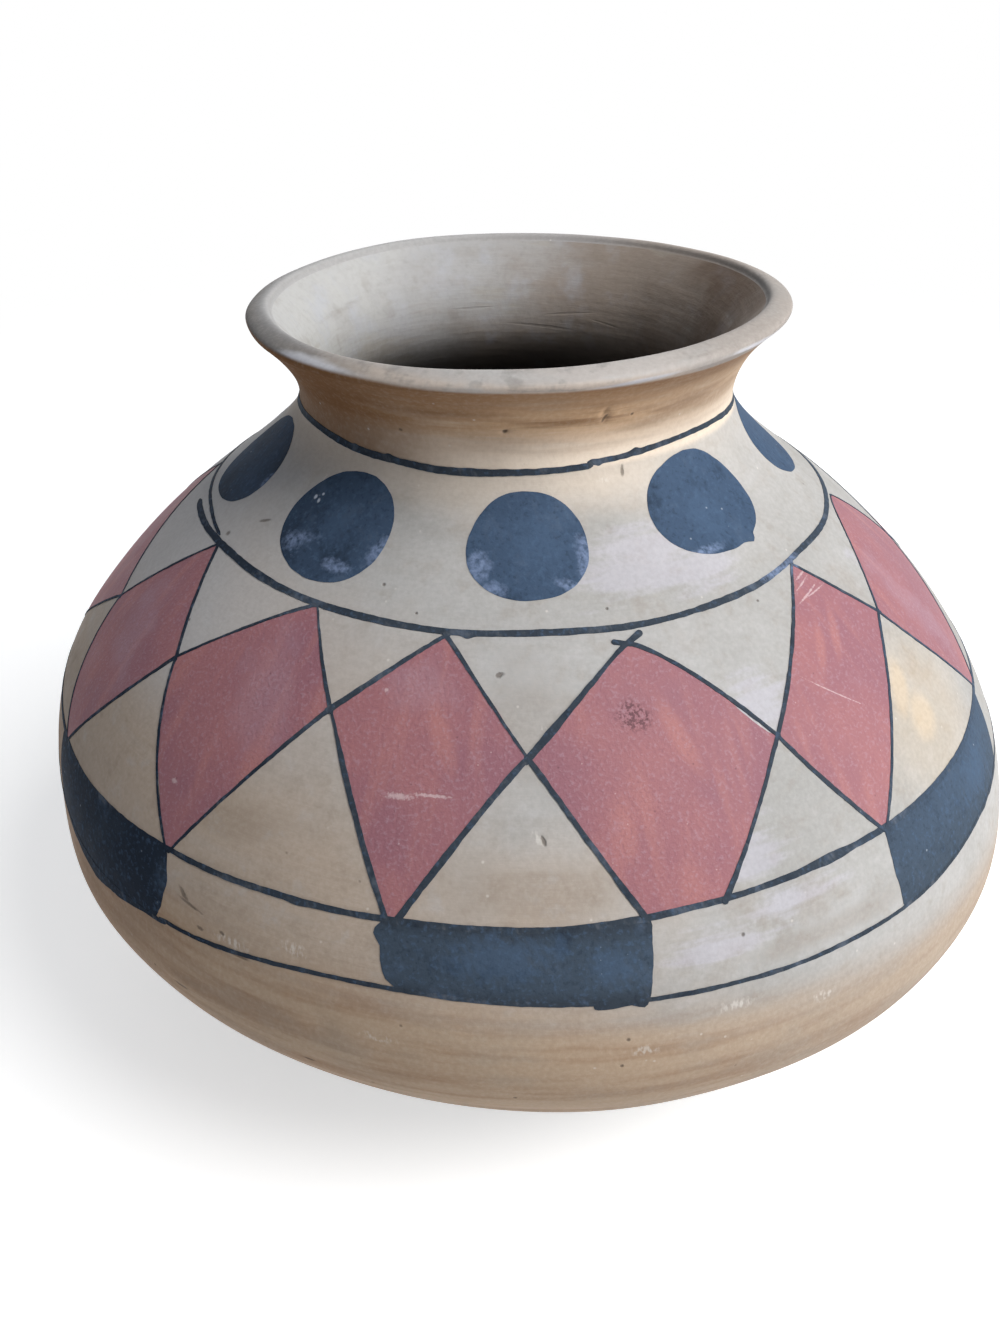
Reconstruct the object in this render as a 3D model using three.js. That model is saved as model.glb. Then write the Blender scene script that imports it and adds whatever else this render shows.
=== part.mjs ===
import * as THREE from 'three';

// A hand-built, slip-painted earthenware jar: a wide belly, a sloping shoulder, a short neck and a flared lip.
// Sizes are in millimetres, the pot stands on z = 0 and its axis is +Z.
// Azimuths are in degrees round the axis, from 0 at -Y (the front) towards +X.

// Outline of the outside, from the foot to the lip. Each rise is measured from the level named before it.
const baseRadius = 56;
const baseEdgeRadius = 3;
const underSlope = 28.5;
const bellyRadius = 129;
const bellyHeight = 68;
const shoulderRadius = 79.5;
const shoulderRise = 71.7;
const shoulderSlope = 36;
const neckRadius = 53;
const neckRise = 26.8;
const mouthRadius = 64.2;
const lipRise = 22.1;
const lipFlare = 42;

// How full each span of the outline is, as shares of the distance between its ends
const underFullness = [0.28, 0.38];
const bellyFullness = [0.31, 0.33];
const shoulderFullness = [0.45, 0.17];
const lipFullness = [0.31, 0.4];

// The lip ends in a blunt face, rounded at its edges. A squareness of 2 would make it a plain round.
const lipFaceTurn = 69;
const lipFaceDepth = 1.7;
const lipSquareness = 3;

// Clay walls, and the joints between the bowl, the coiled walls, the collar and the lip:
// one below the belly and one above it, one above the shoulder and one above the neck
const wallThickness = 5.8;
const floorThickness = 7.5;
const floorCurveRadius = 44;
const bowlSeamDrop = 26;
const bellySeamRise = 22;
const collarSeamRise = 6.3;
const lipSeamRise = 9.5;

// Slip paint: layers of one thickness over a narrow gap
const paintGap = 0.3;
const paintThickness = 0.4;
const paintClearance = 0.35;

// Ring lines, by the middle of each: below the neck, above the shoulder and above the belly.
// The band's depth is measured down from its top line to its bottom line.
const neckLineDrop = 1.5;
const neckLineWidth = 1.9;
const shoulderLineRise = 0.6;
const shoulderLineWidth = 1.9;
const bandTopRise = 29.4;
const bandTopWidth = 2.1;
const bandDepth = 14;
const bandBottomWidth = 1.3;

// Dots above the shoulder line, set out by eye
const dotAzimuths = [3, 43.5, 82.5, 123, 163, 203, 243.5, 284, 324.3];
const dotCentreRise = 12;
const dotWidth = 26.5;
const dotLength = 22.5;

// Diamonds between the shoulder line and the band. Each meets the next at a side corner,
// which lies a little less than half way down from the shoulder line.
const diamondTops = [-8.9, 17.6, 53.1, 86.2, 117, 149, 181, 212, 244, 275.4, 301.4, 329.7];
const diamondRightCorners = [2.2, 32.6, 62.5, 94, 126, 158, 190, 222, 254, 286.1, 311, 337.3];
const rightCornerDrops = [17, 19.8, 13.3, 18.3, 16.3, 18.8, 15.3, 18.3, 20.3, 21.6, 16.7, 13.3];
const diamondFeet = [-11.5, 14.5, 41.3, 74.5, 107, 140, 172, 205, 237, 269, 296, 322.3];
const diamondLineWidth = 1.6;

// Facets
const turnSegments = 48;
const spanSteps = 48;
const wallSteps = 5;
const collarSteps = 10;
const lipSteps = 8;
const edgeSteps = 2;
const dotSides = 16;
const dotRings = 2;
const lineStepsPerSide = 4;
const diamondSteps = 5;
const blockStepsAcross = 6;

// Heights above the ground
const shoulderHeight = bellyHeight + shoulderRise;
const neckHeight = shoulderHeight + neckRise;
const potHeight = neckHeight + lipRise;
const bowlSeamHeight = bellyHeight - bowlSeamDrop;
const bellySeamHeight = bellyHeight + bellySeamRise;
const collarSeamHeight = shoulderHeight + collarSeamRise;
const lipSeamHeight = neckHeight + lipSeamRise;
const neckLineHeight = neckHeight - neckLineDrop;
const shoulderLineHeight = shoulderHeight + shoulderLineRise;
const bandTopHeight = bellyHeight + bandTopRise;
const bandBottomHeight = bandTopHeight - bandDepth;
const dotCentreHeight = shoulderLineHeight + dotCentreRise;
const rightCornerHeights = rightCornerDrops.map((drop) => shoulderLineHeight - drop);

const radians = (degrees) => (degrees * Math.PI) / 180;

function direction(degrees) {
  return new THREE.Vector2(Math.cos(radians(degrees)), Math.sin(radians(degrees)));
}

// One smooth span of the outline, leaving and arriving in given directions.
function outlineSpan(start, startAngle, end, endAngle, fullness) {
  const reach = start.distanceTo(end);
  const leave = start.clone().addScaledVector(direction(startAngle), fullness[0] * reach);
  const arrive = end.clone().addScaledVector(direction(endAngle), -fullness[1] * reach);
  return new THREE.CubicBezierCurve(start, leave, arrive, end);
}

// The lip's rounded end, from the outside over to the inside.
// It just reaches the mouth's radius and the pot's height.
function sampleLip() {
  const power = 2 / lipSquareness;
  const outward = direction(lipFaceTurn);
  const inward = direction(lipFaceTurn + 90);
  const offsets = [];
  for (let i = 0; i <= lipSteps; i += 1) {
    const turn = direction(THREE.MathUtils.lerp(-90, 90, i / lipSteps));
    const out = lipFaceDepth * Math.max(turn.x, 0) ** power;
    const across = (wallThickness / 2) * Math.sign(turn.y) * Math.abs(turn.y) ** power;
    offsets.push(outward.clone().multiplyScalar(out).addScaledVector(inward, across));
  }
  const centre = new THREE.Vector2(
    mouthRadius - Math.max(...offsets.map((offset) => offset.x)),
    potHeight - Math.max(...offsets.map((offset) => offset.y)),
  );
  return offsets.map((offset) => offset.add(centre));
}

const lipPoints = sampleLip();

// The outside, as four spans in the plane of radius and height.
const foot = new THREE.Vector2(baseRadius, 0);
const belly = new THREE.Vector2(bellyRadius, bellyHeight);
const shoulder = new THREE.Vector2(shoulderRadius, shoulderHeight);
const neck = new THREE.Vector2(neckRadius, neckHeight);
const outlineSpans = [
  outlineSpan(foot, underSlope, belly, 90, underFullness),
  outlineSpan(belly, 90, shoulder, 180 - shoulderSlope, bellyFullness),
  outlineSpan(shoulder, 180 - shoulderSlope, neck, 90, shoulderFullness),
  outlineSpan(neck, 90, lipPoints[0], lipFlare, lipFullness),
];

function sampleOutline() {
  const samples = [];
  for (const span of outlineSpans) {
    for (let i = samples.length ? 1 : 0; i <= spanSteps; i += 1) {
      const point = span.getPoint(i / spanSteps);
      const tangent = span.getTangent(i / spanSteps);
      samples.push({ point, normal: new THREE.Vector2(tangent.y, -tangent.x) });
    }
  }
  return samples;
}

const outside = sampleOutline();

// The inside follows the outside one wall thickness away, and runs on to a flat floor.
const inside = outside
  .map(({ point, normal }) => point.clone().addScaledVector(normal, -wallThickness))
  .filter((point) => point.y > floorThickness);

function radiusAt(points, height) {
  const last = points.length - 1;
  const found = points.findIndex((point) => point.y >= height);
  const upper = found < 0 ? last : Math.max(found, 1);
  const low = points[upper - 1];
  const high = points[upper];
  return THREE.MathUtils.mapLinear(height, low.y, high.y, low.x, high.x);
}

const outsidePoints = outside.map(({ point }) => point);

function outerPoint(height) {
  return new THREE.Vector2(radiusAt(outsidePoints, height), height);
}

function innerPoint(height) {
  return new THREE.Vector2(radiusAt(inside, height), height);
}

// The points of one wall between two heights, thinned to a count of steps.
function wallPoints(pointAt, from, to, steps) {
  const points = [];
  for (let i = 0; i <= steps; i += 1) {
    points.push(pointAt(THREE.MathUtils.lerp(from, to, i / steps)));
  }
  return points;
}

function arcPoints(centre, radius, fromAngle, toAngle, steps) {
  const points = [];
  for (let i = 0; i <= steps; i += 1) {
    const angle = THREE.MathUtils.lerp(fromAngle, toAngle, i / steps);
    points.push(centre.clone().addScaledVector(direction(angle), radius));
  }
  return points;
}

const clay = new THREE.MeshStandardMaterial({ color: 0xb5a288, roughness: 0.72, metalness: 0 });
const bareClay = new THREE.MeshStandardMaterial({ color: 0xa8855f, roughness: 0.75, metalness: 0 });
const redSlip = new THREE.MeshStandardMaterial({ color: 0x9c5049, roughness: 0.7, metalness: 0 });
const blackSlip = new THREE.MeshStandardMaterial({ color: 0x353c47, roughness: 0.6, metalness: 0 });

function addMesh(group, name, geometry, material) {
  const mesh = new THREE.Mesh(geometry, material);
  mesh.name = name;
  group.add(mesh);
}

// Turns a section, given as radius and height, about +Z. Azimuth 0 falls at -Y.
function turned(points) {
  return new THREE.LatheGeometry(points, turnSegments).rotateX(Math.PI / 2);
}

function closed(points) {
  return [...points, points[0].clone()];
}

function bowlGeometry() {
  const edgeCentre = new THREE.Vector2(baseRadius - baseEdgeRadius, baseEdgeRadius);
  const edge = arcPoints(edgeCentre, baseEdgeRadius, -90, underSlope - 90, edgeSteps);
  const start = edge[edge.length - 1].y + baseEdgeRadius;
  return turned([
    new THREE.Vector2(0, 0),
    ...edge,
    ...wallPoints(outerPoint, start, bowlSeamHeight, wallSteps),
    ...wallPoints(innerPoint, bowlSeamHeight, inside[0].y, wallSteps),
    new THREE.Vector2(Math.min(floorCurveRadius, inside[0].x - wallThickness), floorThickness),
    new THREE.Vector2(0, floorThickness),
  ]);
}

function ringWallGeometry(from, to, steps) {
  const outer = wallPoints(outerPoint, from, to, steps);
  const inner = wallPoints(innerPoint, to, from, steps);
  return turned(closed([...outer, ...inner]));
}

function lipGeometry() {
  const outer = wallPoints(outerPoint, lipSeamHeight, lipPoints[0].y, wallSteps);
  const inner = wallPoints(innerPoint, lipPoints[lipSteps].y, lipSeamHeight, wallSteps);
  return turned(closed([...outer.slice(0, -1), ...lipPoints, ...inner.slice(1)]));
}

function addClay(group) {
  addMesh(group, 'base_bowl', bowlGeometry(), clay);
  addMesh(group, 'belly_wall', ringWallGeometry(bowlSeamHeight, bellySeamHeight, wallSteps), clay);
  addMesh(group, 'shoulder_wall', ringWallGeometry(bellySeamHeight, collarSeamHeight, wallSteps), clay);
  addMesh(group, 'neck_collar', ringWallGeometry(collarSeamHeight, lipSeamHeight, collarSteps), bareClay);
  addMesh(group, 'rim_lip', lipGeometry(), clay);
}

// Length of the outline from the belly up to each sample, so that paint is set out along the wall.
const wallLengths = outside.reduce((lengths, { point }, i) => {
  lengths.push(i ? lengths[i - 1] + point.distanceTo(outside[i - 1].point) : 0);
  return lengths;
}, []);

function lengthAt(height) {
  const upper = Math.max(outside.findIndex(({ point }) => point.y >= height), 1);
  const low = outside[upper - 1].point.y;
  const high = outside[upper].point.y;
  return THREE.MathUtils.mapLinear(height, low, high, wallLengths[upper - 1], wallLengths[upper]);
}

// The section's point and normal at a length along the outline, lifted off the wall.
function liftedPoint(length, lift) {
  const upper = Math.max(wallLengths.findIndex((value) => value >= length), 1);
  const share = (length - wallLengths[upper - 1]) / (wallLengths[upper] - wallLengths[upper - 1]);
  const point = outside[upper - 1].point.clone().lerp(outside[upper].point, share);
  const normal = outside[upper - 1].normal.clone().lerp(outside[upper].normal, share).normalize();
  return point.addScaledVector(normal, lift);
}

function onWall({ azimuth, length }, lift) {
  const { x: radius, y: height } = liftedPoint(length, lift);
  const angle = radians(azimuth);
  return new THREE.Vector3(radius * Math.sin(angle), -radius * Math.cos(angle), height);
}

// Closes a painted patch: its front and back sheets share triangles, and its rim joins them.
function filmGeometry(spots, triangles, rim) {
  const front = spots.map((spot) => onWall(spot, paintGap + paintThickness));
  const back = spots.map((spot) => onWall(spot, paintGap));
  const count = spots.length;
  const indices = [];
  for (const [a, b, c] of triangles) {
    indices.push(a, b, c, count + a, count + c, count + b);
  }
  rim.forEach((from, i) => {
    const to = rim[(i + 1) % rim.length];
    indices.push(from, count + from, to, to, count + from, count + to);
  });
  const geometry = new THREE.BufferGeometry().setFromPoints([...front, ...back]);
  geometry.setIndex(indices);
  geometry.computeVertexNormals();
  return geometry;
}

function blend(a, b, share) {
  return {
    azimuth: THREE.MathUtils.lerp(a.azimuth, b.azimuth, share),
    length: THREE.MathUtils.lerp(a.length, b.length, share),
  };
}

// A four-cornered patch. The corners run anticlockwise as seen from outside.
function patchGeometry([lowLeft, lowRight, highRight, highLeft], across, up) {
  const spots = [];
  for (let j = 0; j <= up; j += 1) {
    const left = blend(lowLeft, highLeft, j / up);
    const right = blend(lowRight, highRight, j / up);
    for (let i = 0; i <= across; i += 1) {
      spots.push(blend(left, right, i / across));
    }
  }
  const at = (i, j) => j * (across + 1) + i;
  const triangles = [];
  for (let j = 0; j < up; j += 1) {
    for (let i = 0; i < across; i += 1) {
      triangles.push([at(i, j), at(i + 1, j), at(i + 1, j + 1)], [at(i, j), at(i + 1, j + 1), at(i, j + 1)]);
    }
  }
  const rim = [];
  for (let i = 0; i < across; i += 1) rim.push(at(i, 0));
  for (let j = 0; j < up; j += 1) rim.push(at(across, j));
  for (let i = across; i > 0; i -= 1) rim.push(at(i, up));
  for (let j = up; j > 0; j -= 1) rim.push(at(0, j));
  return filmGeometry(spots, triangles, rim);
}

// A round patch, as rings about its middle.
function dotGeometry(azimuth) {
  const middle = { azimuth, length: lengthAt(dotCentreHeight) };
  const degreesPerMillimetre = 180 / Math.PI / outerPoint(dotCentreHeight).x;
  const spots = [middle];
  for (let ring = 1; ring <= dotRings; ring += 1) {
    for (let side = 0; side < dotSides; side += 1) {
      const turn = direction((360 * side) / dotSides).multiplyScalar(ring / dotRings / 2);
      spots.push({
        azimuth: azimuth + turn.x * dotWidth * degreesPerMillimetre,
        length: middle.length + turn.y * dotLength,
      });
    }
  }
  const at = (ring, side) => 1 + (ring - 1) * dotSides + (side % dotSides);
  const triangles = [];
  for (let side = 0; side < dotSides; side += 1) {
    triangles.push([0, at(1, side), at(1, side + 1)]);
    for (let ring = 1; ring < dotRings; ring += 1) {
      const corners = [at(ring, side), at(ring + 1, side), at(ring + 1, side + 1), at(ring, side + 1)];
      triangles.push([corners[0], corners[1], corners[2]], [corners[0], corners[2], corners[3]]);
    }
  }
  const rim = Array.from({ length: dotSides }, (unused, side) => at(dotRings, side));
  return filmGeometry(spots, triangles, rim);
}

// A painted line all the way round the pot.
function ringLineGeometry(height, width) {
  const low = lengthAt(height) - width / 2;
  const high = low + width;
  const front = paintGap + paintThickness;
  return turned(closed([
    liftedPoint(low, front),
    liftedPoint(high, front),
    liftedPoint(high, paintGap),
    liftedPoint(low, paintGap),
  ]));
}

function addRingLines(group) {
  addMesh(group, 'neck_line', ringLineGeometry(neckLineHeight, neckLineWidth), blackSlip);
  addMesh(group, 'shoulder_line', ringLineGeometry(shoulderLineHeight, shoulderLineWidth), blackSlip);
  addMesh(group, 'band_top_line', ringLineGeometry(bandTopHeight, bandTopWidth), blackSlip);
  addMesh(group, 'band_bottom_line', ringLineGeometry(bandBottomHeight, bandBottomWidth), blackSlip);
}

function addDots(group) {
  dotAzimuths.forEach((azimuth, i) => {
    addMesh(group, `shoulder_dot_${i + 1}`, dotGeometry(azimuth), blackSlip);
  });
}

// Where the diamonds' corners may reach: just clear of the lines above and below them.
const diamondTopLength = lengthAt(shoulderLineHeight) - shoulderLineWidth / 2 - paintClearance;
const diamondFootLength = lengthAt(bandTopHeight) + bandTopWidth / 2 + paintClearance;

// A diamond's four corners, all drawn in by the same share towards its middle.
function diamondCorners(index, inset) {
  const previous = (index + diamondTops.length - 1) % diamondTops.length;
  const wrap = index === 0 ? -360 : 0;
  const corners = [
    { azimuth: diamondFeet[index], length: diamondFootLength },
    { azimuth: diamondRightCorners[index], length: lengthAt(rightCornerHeights[index]) },
    { azimuth: diamondTops[index], length: diamondTopLength },
    { azimuth: diamondRightCorners[previous] + wrap, length: lengthAt(rightCornerHeights[previous]) },
  ];
  const middle = blend(blend(corners[1], corners[3], 0.5), blend(corners[0], corners[2], 0.5), 0.5);
  const halfWidth = radians(corners[1].azimuth - corners[3].azimuth) * bellyRadius / 2;
  return corners.map((corner) => blend(corner, middle, inset / halfWidth));
}

// The brushed outline of a diamond: a four-sided loop of one width.
function diamondOutlineGeometry(index) {
  const outer = diamondCorners(index, paintClearance);
  const inner = diamondCorners(index, paintClearance + diamondLineWidth * 1.5);
  const spots = [];
  for (let side = 0; side < 4; side += 1) {
    for (let i = 0; i < lineStepsPerSide; i += 1) {
      spots.push(blend(outer[side], outer[(side + 1) % 4], i / lineStepsPerSide));
      spots.push(blend(inner[side], inner[(side + 1) % 4], i / lineStepsPerSide));
    }
  }
  const count = 4 * lineStepsPerSide;
  const front = spots.map((spot) => onWall(spot, paintGap + paintThickness));
  const back = spots.map((spot) => onWall(spot, paintGap));
  const layer = spots.length;
  const indices = [];
  const quad = (a, b, c, d) => indices.push(a, b, c, a, c, d);
  for (let i = 0; i < count; i += 1) {
    const [o, n] = [2 * i, 2 * i + 1];
    const [p, m] = [2 * ((i + 1) % count), 2 * ((i + 1) % count) + 1];
    quad(o, p, m, n);
    quad(layer + o, layer + n, layer + m, layer + p);
    quad(o, layer + o, layer + p, p);
    quad(n, m, layer + m, layer + n);
  }
  const geometry = new THREE.BufferGeometry().setFromPoints([...front, ...back]);
  geometry.setIndex(indices);
  geometry.computeVertexNormals();
  return geometry;
}

function addDiamonds(group) {
  diamondTops.forEach((unused, i) => {
    const number = String(i + 1).padStart(2, '0');
    const fillInset = 2 * paintClearance + diamondLineWidth * 1.5;
    const fill = patchGeometry(diamondCorners(i, fillInset), diamondSteps, diamondSteps);
    addMesh(group, `red_diamond_${number}`, fill, redSlip);
    addMesh(group, `diamond_outline_${number}`, diamondOutlineGeometry(i), blackSlip);
  });
}

// Every second field of the band, from one diamond's foot to the next, is filled with black.
function addBandBlocks(group) {
  const low = lengthAt(bandBottomHeight) + bandBottomWidth / 2 + paintClearance;
  const high = lengthAt(bandTopHeight) - bandTopWidth / 2 - paintClearance;
  for (let i = 0; i < diamondFeet.length; i += 2) {
    const [left, right] = [diamondFeet[i], diamondFeet[i + 1]];
    const corners = [
      { azimuth: left, length: low },
      { azimuth: right, length: low },
      { azimuth: right, length: high },
      { azimuth: left, length: high },
    ];
    addMesh(group, `band_block_${i / 2 + 1}`, patchGeometry(corners, blockStepsAcross, 2), blackSlip);
  }
}

const pot = new THREE.Group();
addClay(pot);
addRingLines(pot);
addDots(pot);
addDiamonds(pot);
addBandBlocks(pot);

export default pot;
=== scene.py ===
import math
import random

import bpy
import numpy as np
from mathutils import Matrix, Vector, geometry, noise


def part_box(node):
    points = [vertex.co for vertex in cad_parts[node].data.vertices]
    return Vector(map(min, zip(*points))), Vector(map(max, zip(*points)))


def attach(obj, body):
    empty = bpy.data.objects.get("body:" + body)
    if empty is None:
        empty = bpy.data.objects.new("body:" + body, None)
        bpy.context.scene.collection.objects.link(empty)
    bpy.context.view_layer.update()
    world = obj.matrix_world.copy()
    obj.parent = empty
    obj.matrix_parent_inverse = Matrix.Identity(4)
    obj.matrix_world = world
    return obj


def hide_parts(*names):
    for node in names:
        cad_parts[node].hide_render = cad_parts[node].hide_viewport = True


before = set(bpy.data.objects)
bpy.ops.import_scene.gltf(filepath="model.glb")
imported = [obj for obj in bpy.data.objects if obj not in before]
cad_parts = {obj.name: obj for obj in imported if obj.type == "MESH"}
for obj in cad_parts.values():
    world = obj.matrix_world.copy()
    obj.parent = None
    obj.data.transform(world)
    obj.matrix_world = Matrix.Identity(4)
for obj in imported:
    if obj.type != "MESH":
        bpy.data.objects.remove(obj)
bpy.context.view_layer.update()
print("frame loaded with", len(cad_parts), "nodes")

# Lengths are in millimetres and azimuths in degrees, from 0 at the front (-Y) towards +X.
# They turn to metres where a mesh is made.
metre = 0.001

# The pot's outline and the unevenness of a hand-built wall
potForm = {
    "footRadius": 56,
    "footEdge": 3,
    "underSlope": 28.5,
    "bellyRadius": 129,
    "bellyHeight": 68,
    "shoulderRadius": 79.5,
    "shoulderHeight": 139.7,
    "shoulderSlope": 36,
    "neckRadius": 53,
    "neckHeight": 166.5,
    "mouthRadius": 64.2,
    "lipFlare": 42,
    "lipFaceTurn": 69,          # the way the lip's blunt face looks
    "lipFaceDepth": 1.7,
    "lipSquareness": 3,         # 2 is a round lip, more is squarer
    "lipRows": 30,
    "fullness": [(0.28, 0.38), (0.31, 0.33), (0.45, 0.17), (0.31, 0.4)],
    "wall": 5.8,
    "floor": 7.5,
    "floorCurve": 44,
    "lean": (9.53, -0.1658, 0.000513),   # how far the middle of the pot strays in x at a height
    "leanFrom": 38,             # below this height the stray fades out towards the foot
    "rimTilt": (0.023, -0.006),   # how much the rim rises per millimetre in x and in y
    "tiltFrom": (150, 180),     # between these heights the tilt sets in
    "swell": 0.22,              # lumps left by the coils and the hand
    "swellSeed": 7,
    "rimWaver": (0.12, 172, 188),   # its size, and between which heights it sets in
    "dents": [                  # azimuth, height, and how far the wall swells there
        (-85, 99, 1.1), (-64, 74, -0.6), (-56, 60, 1.3), (-13, 44, -1.3), (13, 44, -1.3), (38, 49, 0.4),
        (62, 60, 1.1), (97, 117, 0.3), (104, 140, 0.5), (150, 70, 0.9), (210, 95, -0.8), (250, 60, 0.8),
    ],
    "dentSpread": (23, 10.5),   # in degrees and in height
    "nicks": [                  # azimuth, height, their spreads, and the swelling
        (-1.4, 174, 0.9, 0.5, -0.8), (-3.2, 174.8, 2.4, 0.5, 0.35), (19.6, 177, 0.6, 1.2, -0.7),
        (20.6, 175.4, 0.6, 0.9, -0.7), (22.0, 176.6, 1.0, 1.2, 0.35), (-18.5, 71.5, 1.6, 3, -0.5),
        (-15.6, 67, 2.6, 1.6, 0.45), (-34, 65.4, 3, 1.8, 0.6), (-30.5, 67, 2, 1.8, -0.45),
    ],
    # azimuth, spread in degrees, and the rise
    "rimDips": [(-33, 24, -0.9), (62, 26, 0.7), (150, 30, -0.4), (215, 25, 0.4)],
}
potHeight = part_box("rim_lip")[1].z / metre


def heading(degrees):
    return np.array([math.cos(math.radians(degrees)), math.sin(math.radians(degrees))])


def spanPoints(start, startAngle, end, endAngle, fullness, count=240):
    reach = math.dist(start, end)
    leave = np.add(start, fullness[0] * reach * heading(startAngle))
    arrive = np.subtract(end, fullness[1] * reach * heading(endAngle))
    t = np.linspace(0, 1, count)[:, None]
    return (
        (1 - t) ** 3 * start + 3 * (1 - t) ** 2 * t * leave
        + 3 * (1 - t) * t ** 2 * arrive + t ** 3 * np.array(end, float)
    )


# The lip's rounded end, from the outside over to the inside
def lipLine():
    form = potForm
    turns = np.radians(np.linspace(-90, 90, form["lipRows"] + 1))
    power = 2 / form["lipSquareness"]
    out = form["lipFaceDepth"] * np.maximum(np.cos(turns), 0) ** power
    across = form["wall"] / 2 * np.sign(np.sin(turns)) * np.abs(np.sin(turns)) ** power
    outward, inward = heading(form["lipFaceTurn"]), heading(form["lipFaceTurn"] + 90)
    offsets = out[:, None] * outward + across[:, None] * inward
    return offsets - offsets.max(axis=0) + (form["mouthRadius"], potHeight)


# The outside from the foot up to the lip, as points of radius and height
def outsideLine():
    form = potForm
    foot = (form["footRadius"], 0)
    belly = (form["bellyRadius"], form["bellyHeight"])
    shoulder = (form["shoulderRadius"], form["shoulderHeight"])
    neck = (form["neckRadius"], form["neckHeight"])
    slope = 180 - form["shoulderSlope"]
    full = form["fullness"]
    spans = [
        spanPoints(foot, form["underSlope"], belly, 90, full[0]),
        spanPoints(belly, 90, shoulder, slope, full[1])[1:],
        spanPoints(shoulder, slope, neck, 90, full[2])[1:],
        spanPoints(neck, 90, lipPoints[0], form["lipFlare"], full[3])[1:],
    ]
    return np.vstack(spans)


def lengthsAlong(line):
    return np.r_[0, np.cumsum(np.hypot(*np.diff(line, axis=0).T))]


# The inside, a wall's thickness away, drawn over to the lip's inner end near the top
def insideLine():
    line = outsidePoints - potForm["wall"] * np.stack([slopes[:, 1], -slopes[:, 0]], -1)
    line = line[line[:, 1] > potForm["floor"]]
    end = lipPoints[-1]
    start = potForm["neckHeight"]
    gap = end[0] - np.interp(end[1], line[:, 1], line[:, 0])
    line[:, 0] += gap * np.clip((line[:, 1] - start) / (end[1] - start), 0, 1) ** 2
    return np.vstack([line[line[:, 1] < end[1] - 0.05], end])


lipPoints = lipLine()
outsidePoints = outsideLine()
outsideLengths = lengthsAlong(outsidePoints)
slopes = np.gradient(outsidePoints, outsideLengths, axis=0)
slopes /= np.hypot(*slopes.T)[:, None]
insidePoints = insideLine()


def lengthAt(height):
    return np.interp(height, outsidePoints[:, 1], outsideLengths)


def radiusAt(length):
    return np.interp(length, outsideLengths, outsidePoints[:, 0])


def smooth(share):
    share = np.clip(share, 0, 1)
    return share * share * (3 - 2 * share)


# How far an azimuth lies from another, the short way round
def turnGap(azimuth, other):
    return (azimuth - other + 180) % 360 - 180


# Round lumps in the wall, as waves that close round the pot, and single dents and nicks
def swellAt(azimuth, height):
    draw = random.Random(potForm["swellSeed"])
    total = 0
    for waves in (2, 3, 5, 7, 11, 16):
        phase, drift = draw.uniform(0, 6.3), draw.uniform(-0.05, 0.05)
        total = total + np.sin(waves * azimuth + phase + drift * height) / (1 + 0.25 * waves)
    lumps = potForm["swell"] * total * smooth(height / 40)
    dents = [(turn, level, *potForm["dentSpread"], size) for turn, level, size in potForm["dents"]]
    for turn, level, wide, tall, size in dents + potForm["nicks"]:
        away = turnGap(np.degrees(azimuth), turn)
        lumps = lumps + size * np.exp(-(away / wide) ** 2 - ((height - level) / tall) ** 2)
    rim = np.sin(4 * azimuth + 1.0) + 0.7 * np.sin(7 * azimuth + 2.2) + 0.4 * np.sin(13 * azimuth)
    size, low, high = potForm["rimWaver"]
    return lumps + size * rim * smooth((height - low) / (high - low))


# Where a point of the outline stands once it is turned to an azimuth in radians
def standing(radius, height, azimuth):
    swollen = radius + swellAt(azimuth, height) * smooth(radius / 50)
    base, tilt, curve = potForm["lean"]
    stray = (base + tilt * height + curve * height ** 2) * smooth(height / potForm["leanFrom"])
    x = swollen * np.sin(azimuth) + stray
    y = -swollen * np.cos(azimuth)
    low, high = potForm["tiltFrom"]
    rise = potForm["rimTilt"][0] * x + potForm["rimTilt"][1] * y
    for turn, wide, size in potForm["rimDips"]:
        rise = rise + size * np.exp(-(turnGap(np.degrees(azimuth), turn) / wide) ** 2)
    return np.stack([x, y, height + rise * smooth((height - low) / (high - low))], -1)


# Normals of the uneven wall, from points a little way off along the outline and round the pot
def facing(radius, height, slopeR, slopeZ, azimuth, away=0.05, turn=0.0005):
    along = standing(radius + away * slopeR, height + away * slopeZ, azimuth)
    along = along - standing(radius - away * slopeR, height - away * slopeZ, azimuth)
    wide = np.maximum(radius, 1)
    across = standing(wide, height, azimuth + turn) - standing(wide, height, azimuth - turn)
    normal = np.cross(across, along)
    return normal / np.linalg.norm(normal, axis=-1, keepdims=True)


def addObject(name, mesh, node):
    piece = bpy.data.objects.new(name, mesh)
    bpy.context.scene.collection.objects.link(piece)
    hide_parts(node)
    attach(piece, "root")


# A mesh from points, faces and the normal of each corner of each face
def makeMesh(name, points, faces, cornerNormals, materials, materialIndex=None):
    mesh = bpy.data.meshes.new(name)
    mesh.from_pydata((np.asarray(points) * metre).tolist(), [], faces)
    for material in materials:
        mesh.materials.append(material)
    if materialIndex is not None:
        mesh.polygons.foreach_set("material_index", np.asarray(materialIndex, np.int32))
    mesh.polygons.foreach_set("use_smooth", np.ones(len(faces), bool))
    mesh.normals_split_custom_set(np.asarray(cornerNormals).tolist())
    mesh.update()
    return mesh


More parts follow.
